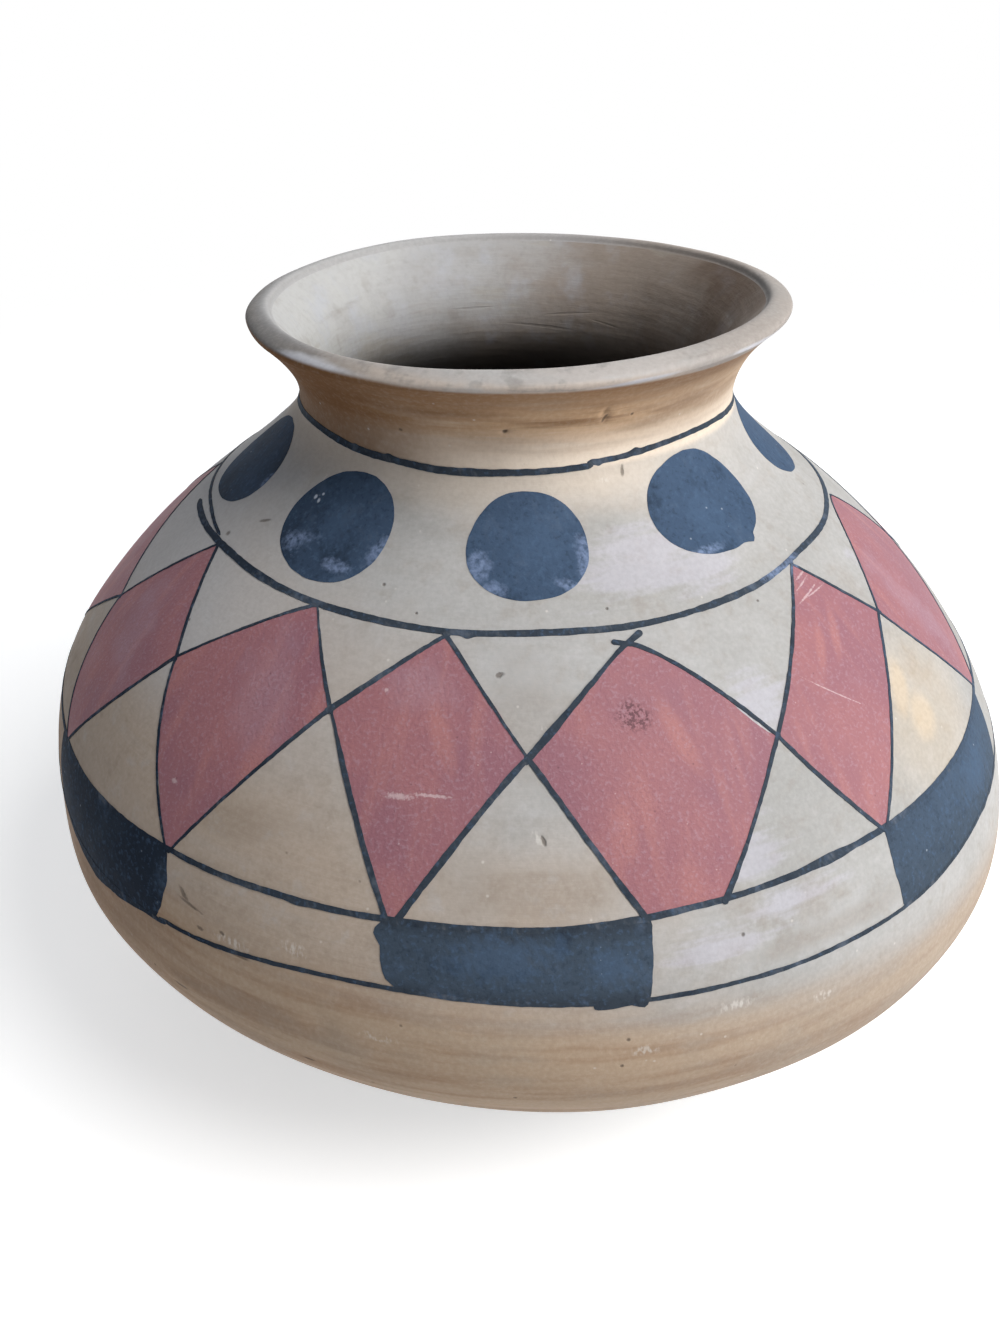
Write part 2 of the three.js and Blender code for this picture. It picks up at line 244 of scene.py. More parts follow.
# A node's output, so that shader maths reads as plain expressions
class Wire:
    def __init__(self, finish, socket):
        self.finish = finish
        self.socket = socket

    def maths(self, operation, first, second):
        kinds = {wire.socket.type for wire in (first, second) if isinstance(wire, Wire)}
        if "RGBA" in kinds:
            settings = {"data_type": "RGBA", "blend_type": operation}
            return self.finish.add("ShaderNodeMix", settings, {0: 1.0, 6: first, 7: second}, 2)
        kind = "ShaderNodeVectorMath" if "VECTOR" in kinds else "ShaderNodeMath"
        return self.finish.add(kind, {"operation": operation}, {0: first, 1: second})

    def __add__(self, other):
        return self.maths("ADD", self, other)

    def __radd__(self, other):
        return self.maths("ADD", other, self)

    def __sub__(self, other):
        return self.maths("SUBTRACT", self, other)

    def __rsub__(self, other):
        return self.maths("SUBTRACT", other, self)

    def __mul__(self, other):
        return self.maths("MULTIPLY", self, other)

    def __rmul__(self, other):
        return self.maths("MULTIPLY", other, self)

    def __truediv__(self, other):
        return self.maths("DIVIDE", self, other)

    def __rtruediv__(self, other):
        return self.maths("DIVIDE", other, self)


# A material, or the world, and the nodes that make it
class Finish:
    def __init__(self, name, owner=None):
        self.owner = owner or bpy.data.materials.new(name)
        self.owner.use_nodes = True
        self.tree = self.owner.node_tree
        self.tree.nodes.clear()

    # Any node, from its type, its settings, and the values or links of its sockets
    def add(self, kind, settings=None, inputs=None, output=0):
        node = self.tree.nodes.new(kind)
        for key, value in (settings or {}).items():
            setattr(node, key, value)
        for key, value in (inputs or {}).items():
            socket = node.inputs[key]
            if isinstance(value, Wire):
                self.tree.links.new(value.socket, socket)
            elif isinstance(value, (int, float)) and socket.type in ("VECTOR", "RGBA"):
                socket.default_value = [value] * 3 + [1] * (socket.type == "RGBA")
            elif socket.type == "RGBA":
                socket.default_value = (*value[:3], 1)
            else:
                socket.default_value = value
        return Wire(self, node.outputs[output]) if len(node.outputs) else None

    # The place on the object in millimetres
    def place(self):
        return self.add("ShaderNodeTexCoord", output="Object") / metre

    def parts(self, vector):
        first = self.add("ShaderNodeSeparateXYZ", inputs={0: vector})
        return [Wire(self, socket) for socket in first.socket.node.outputs]

    def joined(self, *values):
        return self.add("ShaderNodeCombineXYZ", None, dict(enumerate(values)))

    def length(self, vector):
        return self.add("ShaderNodeVectorMath", {"operation": "LENGTH"}, {0: vector}, "Value")

    def cloud(self, vector, size, detail=3, rough=0.55):
        inputs = {"Vector": vector, "Scale": 1 / size, "Detail": detail, "Roughness": rough}
        return self.add("ShaderNodeTexNoise", None, inputs)

    # A mask that goes smoothly from 0 to its top as the value goes from low to high
    def ease(self, value, low, high, top=1.0):
        settings = {"interpolation_type": "SMOOTHSTEP", "clamp": True}
        return self.add("ShaderNodeMapRange", settings, {0: value, 1: low, 2: high, 3: 0.0, 4: top})

    def mix(self, mask, first, second, blend="MIX"):
        settings = {"data_type": "RGBA", "blend_type": blend}
        return self.add("ShaderNodeMix", settings, {0: mask, 6: first, 7: second}, 2)

    def most(self, first, second):
        return self.add("ShaderNodeMath", {"operation": "MAXIMUM"}, {0: first, 1: second})

    # Patches on the wall, softly edged, where ragged shifts their edges in and out
    def marks(self, flat, spots, ragged):
        total = None
        for azimuth, height, wide, tall, *turn in spots:
            inputs = {
                "Vector": flat, "Location": (azimuth, height, 0),
                "Rotation": (0, 0, math.radians(sum(turn))), "Scale": (wide, tall, 1),
            }
            near = self.add("ShaderNodeMapping", {"vector_type": "TEXTURE"}, inputs)
            mask = 1 - self.ease(self.length(near) + ragged, 0.35, 1.1)
            total = mask if total is None else self.most(total, mask)
        return total

    # Small round specks, with a share of them left out
    def specks(self, place, apart, leftOut):
        inputs = {"Vector": place, "Scale": 1 / apart}
        far = self.add("ShaderNodeTexVoronoi", None, inputs)
        pick = self.parts(self.add("ShaderNodeTexVoronoi", None, inputs, "Color"))[0]
        return (1 - self.ease(far, 0.02, 0.08)) * self.ease(pick, leftOut, leftOut + 0.05)

    # Lays colours over each other. A row is a value, from where and up to where it grows, the most
    # that the new colour covers, and its name.
    def layers(self, colour, look, rows):
        for value, low, high, top, name in rows:
            colour = self.mix(self.ease(value, low, high, top), colour, look[name])
        return colour

    # Lays colours on marks. A row is the marks' name, their raggedness, the share and the colour's name.
    def markLayers(self, colour, look, flat, rows):
        for spots, ragged, share, name in rows:
            colour = self.mix(self.marks(flat, look[spots], ragged) * share, colour, look[name])
        return colour

    # Lays colours on specks. A row is the place, how far apart they lie, the share left out, the
    # cover and the colour's name.
    def speckLayers(self, colour, look, rows):
        for place, apart, leftOut, share, name in rows:
            colour = self.mix(self.specks(place, apart, leftOut) * share, colour, look[name])
        return colour

    def close(self, colour, roughness, normal, gloss):
        inputs = {"Base Color": colour, "Roughness": roughness, "Normal": normal}
        inputs["Specular IOR Level"] = gloss
        shader = self.add("ShaderNodeBsdfPrincipled", None, inputs)
        self.add("ShaderNodeOutputMaterial", None, {"Surface": shader})
        return self.owner

    def relief(self, height, strength, distance):
        inputs = {"Height": height, "Strength": strength, "Distance": distance * metre}
        return self.add("ShaderNodeBump", None, inputs)


# A colour as the eye reads it, 0 to 255, turned to the light values that nodes use
def tint(red, green, blue):
    def linear(value):
        value /= 255
        return value / 12.92 if value <= 0.04045 else ((value + 0.055) / 1.055) ** 2.4

    return (linear(red), linear(green), linear(blue))


# Marks on the wall are given as azimuth, height, half the width in degrees, half the height, and
# often a turn in degrees. Here is the clay's outside with its coats, from the foot to the lip.
clayLook = {
    "slip": tint(168, 167, 165),
    "slipPale": tint(186, 185, 184),
    "slipWarm": tint(186, 168, 151),
    "slipLight": tint(196, 195, 196),
    "slipStain": tint(140, 122, 104),
    "slipBare": tint(218, 205, 190),
    # a lavender painted sheen, the lamp's and sky's shine on the burnished slip
    "paintedSheen": tint(206, 204, 222),
    # a painted warm highlight on the right, where the key lamp shines
    "glow": tint(236, 208, 168),
    "under": tint(186, 163, 140),
    "underPale": tint(180, 170, 157),
    "underBrown": tint(152, 118, 90),
    "underCool": tint(170, 162, 153),
    "footGrey": tint(170, 166, 162),
    "neck": tint(206, 172, 138),
    "neckPale": tint(226, 203, 178),
    # dark streaks on the neck, and its painted shade under the lip and on the left
    "neckDark": tint(120, 84, 52),
    "neckLow": tint(246, 230, 212),
    "neckDull": tint(192, 178, 163),
    "lip": tint(202, 189, 178),
    "lipCool": tint(188, 182, 178),
    # dark streaks on the lip, and its painted shade on the left
    "lipDark": tint(114, 112, 111),
    "lipDull": tint(146, 136, 128),
    "lipWornAndLit": tint(214, 216, 224),
    "lipBack": tint(180, 178, 179),
    "lipBackWarm": tint(170, 159, 150),
    "speck": tint(82, 70, 60),
    "fleck": tint(226, 222, 216),
    "underFrom": 81,            # below this the belly is burnished bare clay
    "warmBelow": 118,           # from here down the cream turns warmer
    "shadedFrom": (108, 128),   # heights between which the left is lightened, as painted light
    "lightFrom": (114, 128),    # heights between which the painted lightening under the dots sets in
    "lightTo": (142, 136),
    "greyFoot": (8, 48),        # heights between which the foot's painted grey, light from the pale floor, fades out
    "neckFrom": 164.2,
    "lipFrom": 185.2,
    "lipTurn": 187.0,           # above this the lip's face turns inward
    "lipStray": 3.5,            # how far the mouth's middle lies to the left
    "lipInner": (63.4, 57.8),   # between these radii the lip takes the inside's colour
    "roughness": 0.64,
    "gloss": 0.12,
    # where the painted sheen lies
    "paintedSheenSpots": [
        (26, 148.5, 15, 6, 8), (36, 145.5, 10, 4, 12), (20, 91.5, 7, 4.5, 10), (27, 95, 8, 5, 12),
        (24, 104, 5, 6, -20), (33, 125, 6, 6), (70, 127, 3, 10, 10),
    ],
    "paleSpots": [
        (30, 123.6, 4.2, 0.8, -34), (2.8, 111.9, 0.5, 1.3, 20), (21, 161.8, 2, 0.6),
        (4.2, 127.4, 0.5, 0.4), (29.3, 73.1, 1.4, 1.5), (-28, 83.8, 2.6, 1.3, -10),
        (-21, 87.4, 1.6, 1.6), (11, 72, 1.6, 1.6), (20, 78.5, 2.2, 1.4), (-13, 72.5, 1.8, 1.2, -12),
        (-45, 156.5, 1.2, 2.0, 20),
    ],
    # where the painted warm highlight lies
    "warmHighlightSpots": [(58, 110, 15, 20)],
    "warmHighlightStreaks": [(55.6, 116.6, 2.6, 6, -30), (56.6, 110, 3.4, 5, -10)],
    "darkSpots": [
        (-53.1, 147, 1.7, 0.35, 24), (-59.6, 142, 0.7, 0.5), (-14.5, 141.7, 0.3, 0.25),
        (-1.3, 134.5, 0.8, 0.45, 20), (26, 163, 0.6, 1.3, -10), (41.2, 138.5, 0.3, 0.22),
        (45.9, 133.8, 0.2, 0.18), (15.5, 142.6, 0.3, 0.22), (23.8, 111.3, 0.5, 0.8, 20),
        (-33.7, 87.1, 2.0, 0.4, -16), (-32.1, 83.3, 0.6, 0.5), (-29.3, 84.7, 0.4, 0.5),
        (-21.3, 57.8, 0.7, 0.7), (-25.6, 171.8, 0.6, 0.5), (3.4, 111.4, 0.3, 1.0, 10),
        (-34.6, 88.4, 0.5, 1.6, 30), (-27, 81.5, 1.2, 0.5), (-36, 63.6, 1.4, 0.6, 20),
    ],
    "brownSpots": [
        (-30, 106, 8, 4, 20), (-58, 87, 10, 7), (3, 103, 12, 5), (3, 128, 11, 9),
        (-31, 64, 14, 5, -12), (0, 60, 16, 7), (30, 87, 12, 3), (150, 106, 12, 8, 10),
        (230, 99, 14, 6), (190, 150, 14, 6),
    ],
    # pale patches on the lip's edge: worn slip, and a painted highlight
    "wornAndLitLip": [
        (-42, 185.6, 13, 0.9), (24, 186.2, 9, 0.7, 4), (52, 187.4, 12, 0.7), (170, 186, 20, 0.6),
    ],
    # painted shadow inside the nicks
    "nickShadowSpots": [(-1.4, 173.9, 0.75, 0.55, 20), (20.2, 176.0, 0.45, 1.3, -24)],
}


# A point of the wall as its place in millimetres and its azimuth in degrees
def wallMarks(make, place):
    x, y, height = make.parts(place)
    base, tilt, curve = potForm["lean"]
    across = x - (base + height * (tilt + height * curve))
    azimuth = make.add("ShaderNodeMath", {"operation": "ARCTAN2"}, {0: across, 1: 0 - y})
    return x, y, height, azimuth * math.degrees(1)


# Streaks that run round the pot
def wipeMarks(make, x, y, height, long, size, detail=4):
    return make.cloud(make.joined(x / long, y / long, height), size, detail, 0.6)


def slipColour(make, look, flat, x, height, clouds):
    broad, patch, fine, grain, wipe, stroke = clouds
    low = (look["warmBelow"] - height) / 60 - x / 90 + (broad - 0.5) * 2.2
    slip = make.layers(look["slip"], look, [
        (broad + patch * 0.4, 0.55, 0.85, 0.8, "slipPale"),
        (low, 0.0, 0.9, 0.9, "slipWarm"),
        (patch, 0.56, 0.8, 0.4, "slipStain"),
        (fine, 0.5, 0.75, 0.22, "slipStain"),
        (fine, 0.45, 0.25, 0.3, "slipLight"),
        (wipe, 0.5, 0.8, 0.14, "slipStain"),
        (stroke, 0.52, 0.75, 0.2, "slipPale"),
    ])
    # Painted light: the upper cream is lightened on the left, and a band under the dots made lighter and
    # cooler, most of all on the left
    shaded = make.ease(x, -30, -80) * make.ease(height, *look["shadedFrom"])
    slip = make.mix(shaded * 0.75, slip, look["slipLight"])
    upper = make.ease(height, *look["lightFrom"]) * make.ease(height, *look["lightTo"])
    slip = make.mix(upper * (0.1 + make.ease(x, -10, -50, 0.16)), slip, look["slipLight"])
    ragged = (patch - 0.5) * 1.6 + (grain - 0.5) * 0.6
    # Over real brown stains lie painted light: a warm highlight on the right and a pale sheen on the
    # shoulder and band
    slip = make.markLayers(slip, look, flat, [
        ("brownSpots", ragged + stroke - 0.5, 0.26, "slipStain"),
        ("warmHighlightSpots", ragged * 0.3, 0.2, "glow"),
        ("warmHighlightStreaks", ragged * 0.4, 0.3, "glow"),
        ("paintedSheenSpots", ragged * 0.8 + (wipe - 0.5) * 2.4, 0.33, "paintedSheen"),
    ])
    near = make.ease(height + (patch - 0.5) * 5, look["neckFrom"] - 11, look["neckFrom"] - 1)
    return make.mix(near * (0.8 - make.ease(x, 12, 50, 0.7)), slip, look["slipBare"])


def underColour(make, look, x, height, clouds):
    patch, wipe, stroke = clouds
    under = make.layers(look["under"], look, [
        (wipe * 0.6 + stroke * 1.4, 0.85, 1.3, 0.8, "underBrown"),
        (patch + stroke, 0.95, 1.25, 0.35, "underPale"),
        (x + (patch - 0.5) * 60, 10, 90, 0.4, "underCool"),
        ((patch - 0.5) * 50 - x, 50, 120, 0.6, "underBrown"),
    ])
    # Painted light: the foot turns grey, as if lit from below by the pale floor
    grey = 1 - make.ease(height + (stroke - 0.5) * 12, *look["greyFoot"])
    return make.mix(grey, under, look["footGrey"])


def neckColour(make, look, x, height, clouds):
    patch, wipe, stroke = clouds
    neck = make.layers(look["neck"], look, [
        (wipe, 0.46, 0.66, 0.8, "neckPale"),
        (stroke, 0.46, 0.66, 0.5, "neckDark"),
        (wipe, 0.44, 0.3, 0.45, "neckDark"),
    ])
    rise = height + (wipe - 0.5) * 7 + (stroke - 0.5) * 4
    low = 1 - make.ease(rise, look["neckFrom"] + 2, look["neckFrom"] + 11)
    neck = make.mix(low, neck, look["neckLow"])
    # Painted shade: the neck darkens up under the lip's overhang and on its left, away from the light
    return make.layers(neck, look, [
        (x, 10, 44, 0.35, "neckDull"),
        (rise, look["lipFrom"] - 10, look["lipFrom"] - 1, 0.6, "neckDark"),
        ((patch - 0.5) * 24 - x, -2, 44, 0.9, "neckDark"),
    ])


def lipColour(make, look, flat, x, y, height, clouds):
    patch, fine, wipe = clouds
    spread = patch - 0.5
    lip = make.layers(look["lip"], look, [
        (height + spread * 1.5, look["lipTurn"] - 0.5, look["lipTurn"] + 0.7, 1, "lipCool"),
        (wipe + patch, 0.95, 1.2, 0.7, "slipPale"),
        (wipe + fine, 1.0, 0.8, 0.35, "lipDark"),
        (x + spread * 20, 14, 50, 0.55, "lipDull"),
        # painted shade on the lip's left, away from the light
        (spread * 30 - x, 12, 56, 0.85, "lipDark"),
    ])
    back = make.layers(look["lipBack"], look, [(x + spread * 40, -10, 46, 1, "lipBackWarm")])
    lip = make.mix(make.ease(y + spread * 20, 4, 44), lip, back)
    # The lip's inner edge takes the inside's colours, with their painted light and shade
    inward = make.layers(insideLook["pale"], insideLook, [(x + spread * 30, -34, 50, 1, "brown")])
    reach = make.length(make.joined(x + look["lipStray"], y)) + spread * 1.6
    inner = make.ease(reach, *look["lipInner"]) * make.ease(x, 20, -30) * make.ease(y, -60, -20)
    lip = make.mix(inner, lip, inward)
    # The lip's worn edges and its painted highlight, pale and bluish
    wornAndSheen = spread * 2 + (wipe - 0.5) * 1.5
    return make.markLayers(lip, look, flat, [("wornAndLitLip", wornAndSheen, 0.7, "lipWornAndLit")])


def clayOutside():
    look = clayLook
    make = Finish("slipped_clay")
    place = make.place()
    x, y, height, azimuth = wallMarks(make, place)
    flat = make.joined(azimuth, height)
    broad = make.cloud(place, 70, 3)
    patch = make.cloud(place + 40, 20, 4, 0.6)
    fine = make.cloud(place - 17, 4.5, 3, 0.6)
    grain = make.cloud(place, 1.1, 3, 0.6)
    wipe = wipeMarks(make, x, y, height, 14, 2.4)
    stroke = wipeMarks(make, x + 90, y, height, 9, 7, 3)

    slip = slipColour(make, look, flat, x, height, (broad, patch, fine, grain, wipe, stroke))
    under = underColour(make, look, x, height, (patch, wipe, stroke))
    edge = height + (stroke - 0.5) * 8 + x / 12
    slip = make.mix(1 - make.ease(edge, look["underFrom"] - 8, look["underFrom"] + 7), slip, under)
    neck = neckColour(make, look, x, height, (patch, wipe, stroke))
    neckMask = make.ease(height + (wipe - 0.5) * 1.5, look["neckFrom"] - 0.6, look["neckFrom"] + 1.2)
    colour = make.mix(neckMask, slip, neck)
    lip = lipColour(make, look, flat, x, y, height, (patch, fine, wipe))
    lipMask = make.ease(height + (patch - 0.5) * 1.0, look["lipFrom"] - 0.5, look["lipFrom"] + 0.4)
    colour = make.mix(lipMask, colour, lip)

    colour = make.mix(make.ease(grain, 0.4, 0.75, 0.09), colour, look["slipStain"], "MULTIPLY")
    colour = make.layers(colour, look, [(grain, 0.52, 0.3, 0.06, "fleck")])
    speck = make.specks(place, 7.5, 0.62)
    colour = make.mix(speck * 0.7, colour, look["speck"])
    colour = make.speckLayers(colour, look, [(place + 33, 5.5, 0.4, 0.45, "fleck")])
    ragged = (grain - 0.5) * 1.2
    scratch = make.ease(make.cloud(make.joined(azimuth * 1.6, height * 0.3), 0.6, 2, 0.5), 0.42, 0.62)
    colour = make.mix(make.marks(flat, look["paleSpots"], ragged) * scratch * 0.5, colour, look["fleck"])
    # Dark specks and scratches of the clay, and painted shadow in the neck's nicks
    dark = make.marks(flat, look["darkSpots"], ragged)
    nicks = make.marks(flat, look["nickShadowSpots"], ragged * 0.5)
    colour = make.mix(make.most(dark * 0.65, nicks * 0.8), colour, look["speck"])

    bumps = grain * 0.22 + wipe * 0.45 + patch * 1.0 - speck * 0.6 - dark * 0.8
    rough = look["roughness"] + (patch - 0.5) * 0.25 + (grain - 0.5) * 0.15 + neckMask * 0.1
    return make.close(colour, rough, make.relief(bumps, 0.6, 0.5), look["gloss"])


insideLook = {
    "bright": tint(200, 200, 198),
    "pale": tint(180, 179, 179),
    "warm": tint(176, 168, 156),
    "brown": tint(158, 145, 134),
    "shadowBrown": tint(124, 107, 94),
    "streak": tint(146, 136, 126),
    "deep": tint(88, 83, 79),
    "cool": tint(192, 196, 208),
    "darkens": (138, 181),      # between these heights the inside goes dark, painted shade deep in the pot
    "shadeLevel": 182,          # from here down the painted shade's brown spreads
    "rimPale": (176, 187),      # heights between which the left turns pale, painted light near the rim
    "roughness": 0.75,
    "gloss": 0.12,
    "coolSpots": [(206, 179, 9, 6), (222, 172, 5, 8), (163, 178, 3, 5)],
    "crackSpots": [
        (162, 170, 9, 0.35, -6), (150, 168.5, 6, 0.3, 6), (196, 171, 7, 0.3), (173, 166, 12, 0.4, 3),
    ],
}


def clayInside():
    look = insideLook
    make = Finish("inner_clay")
    place = make.place()
    x, y, height, azimuth = wallMarks(make, place)
    flat = make.joined(azimuth + make.ease(azimuth, 0, -1) * 360, height)
    patch = make.cloud(place, 22, 4, 0.6)
    fine = make.cloud(place + 9, 8, 3, 0.6)
    grain = make.cloud(place, 1.8, 3, 0.6)
    wipe = wipeMarks(make, x, y, height, 8, 3.2)
    # Painted light and shade over the clay's own tones: bright on the left, where the light falls in, to
    # brown and darkest brown on the right
    shade = x + (patch - 0.5) * 60 + (wipe - 0.5) * 20 + (look["shadeLevel"] - height) * 0.8
    colour = make.layers(look["bright"], look, [
        (shade, -52, -24, 1, "pale"),
        (shade, -24, 26, 1, "brown"),
        (shade, 34, 58, 1, "shadowBrown"),
        (wipe, 0.52, 0.78, 0.3, "streak"),
        (patch + wipe, 0.9, 0.7, 0.5, "warm"),
    ])
    cool = make.ease(fine, 0.5, 0.75, 0.4) * (1 - make.ease(x, -20, 44, 0.75))
    colour = make.mix(cool, colour, look["cool"])
    colour = make.layers(colour, look, [(fine, 0.46, 0.26, 0.35, "streak")])
    colour = make.markLayers(colour, look, flat, [("coolSpots", (patch - 0.5) * 2, 0.16, "cool")])
    paintedRimLight = make.ease(height, *look["rimPale"], 0.4) * make.ease(x, 10, -20)
    colour = make.mix(paintedRimLight, colour, look["pale"])
    sink = height + x * 0.08 + (wipe - 0.5) * 6 + (patch - 0.5) * 10
    colour = make.mix(1 - make.ease(sink, *look["darkens"]), colour, look["deep"])
    cracks = make.marks(flat, look["crackSpots"], (patch - 0.5) * 1.5)
    colour = make.mix(cracks * 0.16, colour, look["deep"])
    colour = make.mix(make.ease(grain, 0.4, 0.8, 0.12), colour, look["streak"], "MULTIPLY")
    bumps = wipe + patch * 1.4 + grain * 0.3 - cracks * 0.25
    return make.close(colour, look["roughness"], make.relief(bumps, 0.6, 0.5), look["gloss"])


redLook = {
    "base": tint(164, 112, 116),
    "light": tint(184, 127, 122),
    "dusky": tint(150, 104, 114),
    "bloom": tint(178, 150, 163),
    "speck": tint(78, 50, 58),
    "fleck": tint(212, 186, 188),
    "scuff": tint(224, 204, 206),
    "roughness": 0.56,
    "gloss": 0.14,
    "bloomSpots": [
        (-32.4, 126, 5, 13, 10), (-11, 132, 5, 4), (-62, 122, 5, 12, 10), (73, 122, 4, 16, 12),
        (100, 125, 5, 10), (205, 118, 7, 9),
    ],
    "stripeSpots": [
        (-8.2, 126, 1.6, 6.5, 18), (50.7, 129.5, 1.1, 6, -36), (46.4, 129, 1.1, 5, -36),
        (20.5, 124, 1.6, 8, 14), (12, 112, 1.5, 6), (-30, 114, 2, 7),
    ],
    "scuffSpots": [
        (51.2, 136, 3.5, 0.17, 8), (51.8, 137.6, 2.6, 0.17, 10), (52.8, 138.6, 1.6, 0.2, 6),
        (53.3, 135.7, 3.2, 0.14), (-12, 116.5, 1.8, 0.55, 4), (-8.6, 117.2, 2.4, 0.28, 2),
        (44, 122.4, 5.4, 0.13, -50), (-39.7, 107, 0.6, 0.5), (-1.8, 113, 0.4, 1.2, -40),
        (-15.9, 131, 0.5, 0.4),
    ],
    "darkSpots": [(15.6, 127.9, 2.2, 2.2), (110, 131, 2.2, 2.0), (243, 112, 2.4, 3)],
}


def redSlip():
    look = redLook
    make = Finish("red_slip")
    place = make.place()
    x, y, height, azimuth = wallMarks(make, place)
    flat = make.joined(azimuth, height)
    broad = make.cloud(place, 26, 3)
    patch = make.cloud(place, 8, 4, 0.6)
    grain = make.cloud(place, 0.8, 2, 0.6)
    around = make.add("ShaderNodeVectorMath", {"operation": "NORMALIZE"}, {0: make.joined(x, y)})
    brush = make.cloud(around * 110 + make.joined(0, 0, height * 0.2), 4.5, 3, 0.5)
    ragged = (patch - 0.5) * 2 + (grain - 0.5) * 0.8
    colour = make.layers(look["dusky"], look, [
        (broad + patch * 0.3, 0.5, 0.85, 1, "base"),
        (brush, 0.48, 0.72, 0.4, "light"),
    ])
    colour = make.markLayers(colour, look, flat, [
        ("stripeSpots", ragged * 0.4, 0.5, "light"),
        ("bloomSpots", ragged, 0.26, "bloom"),
    ])
    colour = make.layers(colour, look, [
        (patch, 0.58, 0.8, 0.2, "bloom"),
        (grain, 0.5, 0.7, 0.34, "bloom"),
        (grain, 0.48, 0.28, 0.5, "dusky"),
    ])
    dark = make.marks(flat, look["darkSpots"], ragged) * make.ease(grain, 0.56, 0.42)
    colour = make.mix(dark * 0.7, colour, look["speck"])
    colour = make.speckLayers(colour, look, [
        (place, 3.0, 0.62, 0.5, "fleck"),
        (place + 21, 4, 0.6, 0.4, "speck"),
        (place + 55, 1.7, 0.5, 0.22, "speck"),
    ])
    colour = make.markLayers(colour, look, flat, [("scuffSpots", (grain - 0.5) * 2.4, 0.5, "scuff")])
    rough = look["roughness"] + (patch - 0.5) * 0.3 + (grain - 0.5) * 0.2
    return make.close(colour, rough, make.relief(grain + patch, 0.4, 0.4), look["gloss"])


blackLook = {
    "base": tint(68, 80, 94),
    "dotBase": tint(68, 86, 110),
    "faded": tint(120, 122, 126),
    "lineBase": tint(60, 68, 78),
    "deep": tint(34, 43, 56),
    "blue": tint(82, 104, 132),
    "bloom": tint(136, 154, 188),
    "fleck": tint(198, 208, 222),
    "dotsFrom": (108, 132),     # between these heights the band's colour goes over to the dots' bluer one, partly their own and partly painted sky sheen
    "bandMiddle": 90.6,
    "bandBlue": (84, 98),       # heights between which the band's right end turns blue, a painted sky reflection
    "fade": 0.06,               # how much of a field, and of a line, is rubbed pale
    "lineFade": 0.3,
    "roughness": 0.6,
    "gloss": 0.02,
    # pale patches on the black: partly worn slip, partly a painted sky sheen
    "bloomSpots": [
        (-42, 147.4, 4.2, 2.0, 16), (-24.5, 149, 2.4, 3.2, -30), (-31, 145.4, 3, 1.0),
        (-5.6, 148.6, 2.4, 3.0), (-3.5, 145.4, 3, 1.6, 20), (13.8, 149.5, 1.8, 4.2),
        (11, 145.8, 3.6, 1.0, -24), (37, 147.4, 5, 0.8), (50, 140.6, 7, 1.6), (-62, 151, 2, 2),
        (163, 149, 6, 2), (243, 148, 5, 2),
    ],
    # faint bluish patches of painted sheen
    "faintSpots": [
        (5, 153, 6, 5), (-1, 92.6, 6, 5), (9, 90, 3, 4), (-36, 152, 5, 4), (43, 152, 5, 5),
        (62, 92, 6, 5), (122, 91, 6, 3), (190, 90, 8, 3), (163, 152, 6, 4),
    ],
    "fleckSpots": [
        (-44.8, 153.9, 0.5, 0.45), (-43.4, 153.6, 0.5, 0.45), (-43.2, 154.8, 0.4, 0.3),
        (-11.4, 158, 0.4, 0.4),
    ],
    "dustSpots": [(8.6, 91.5, 4, 4.5), (-44, 154.4, 2.4, 1.6), (46, 150.6, 3, 3), (122, 152, 5, 4)],
}


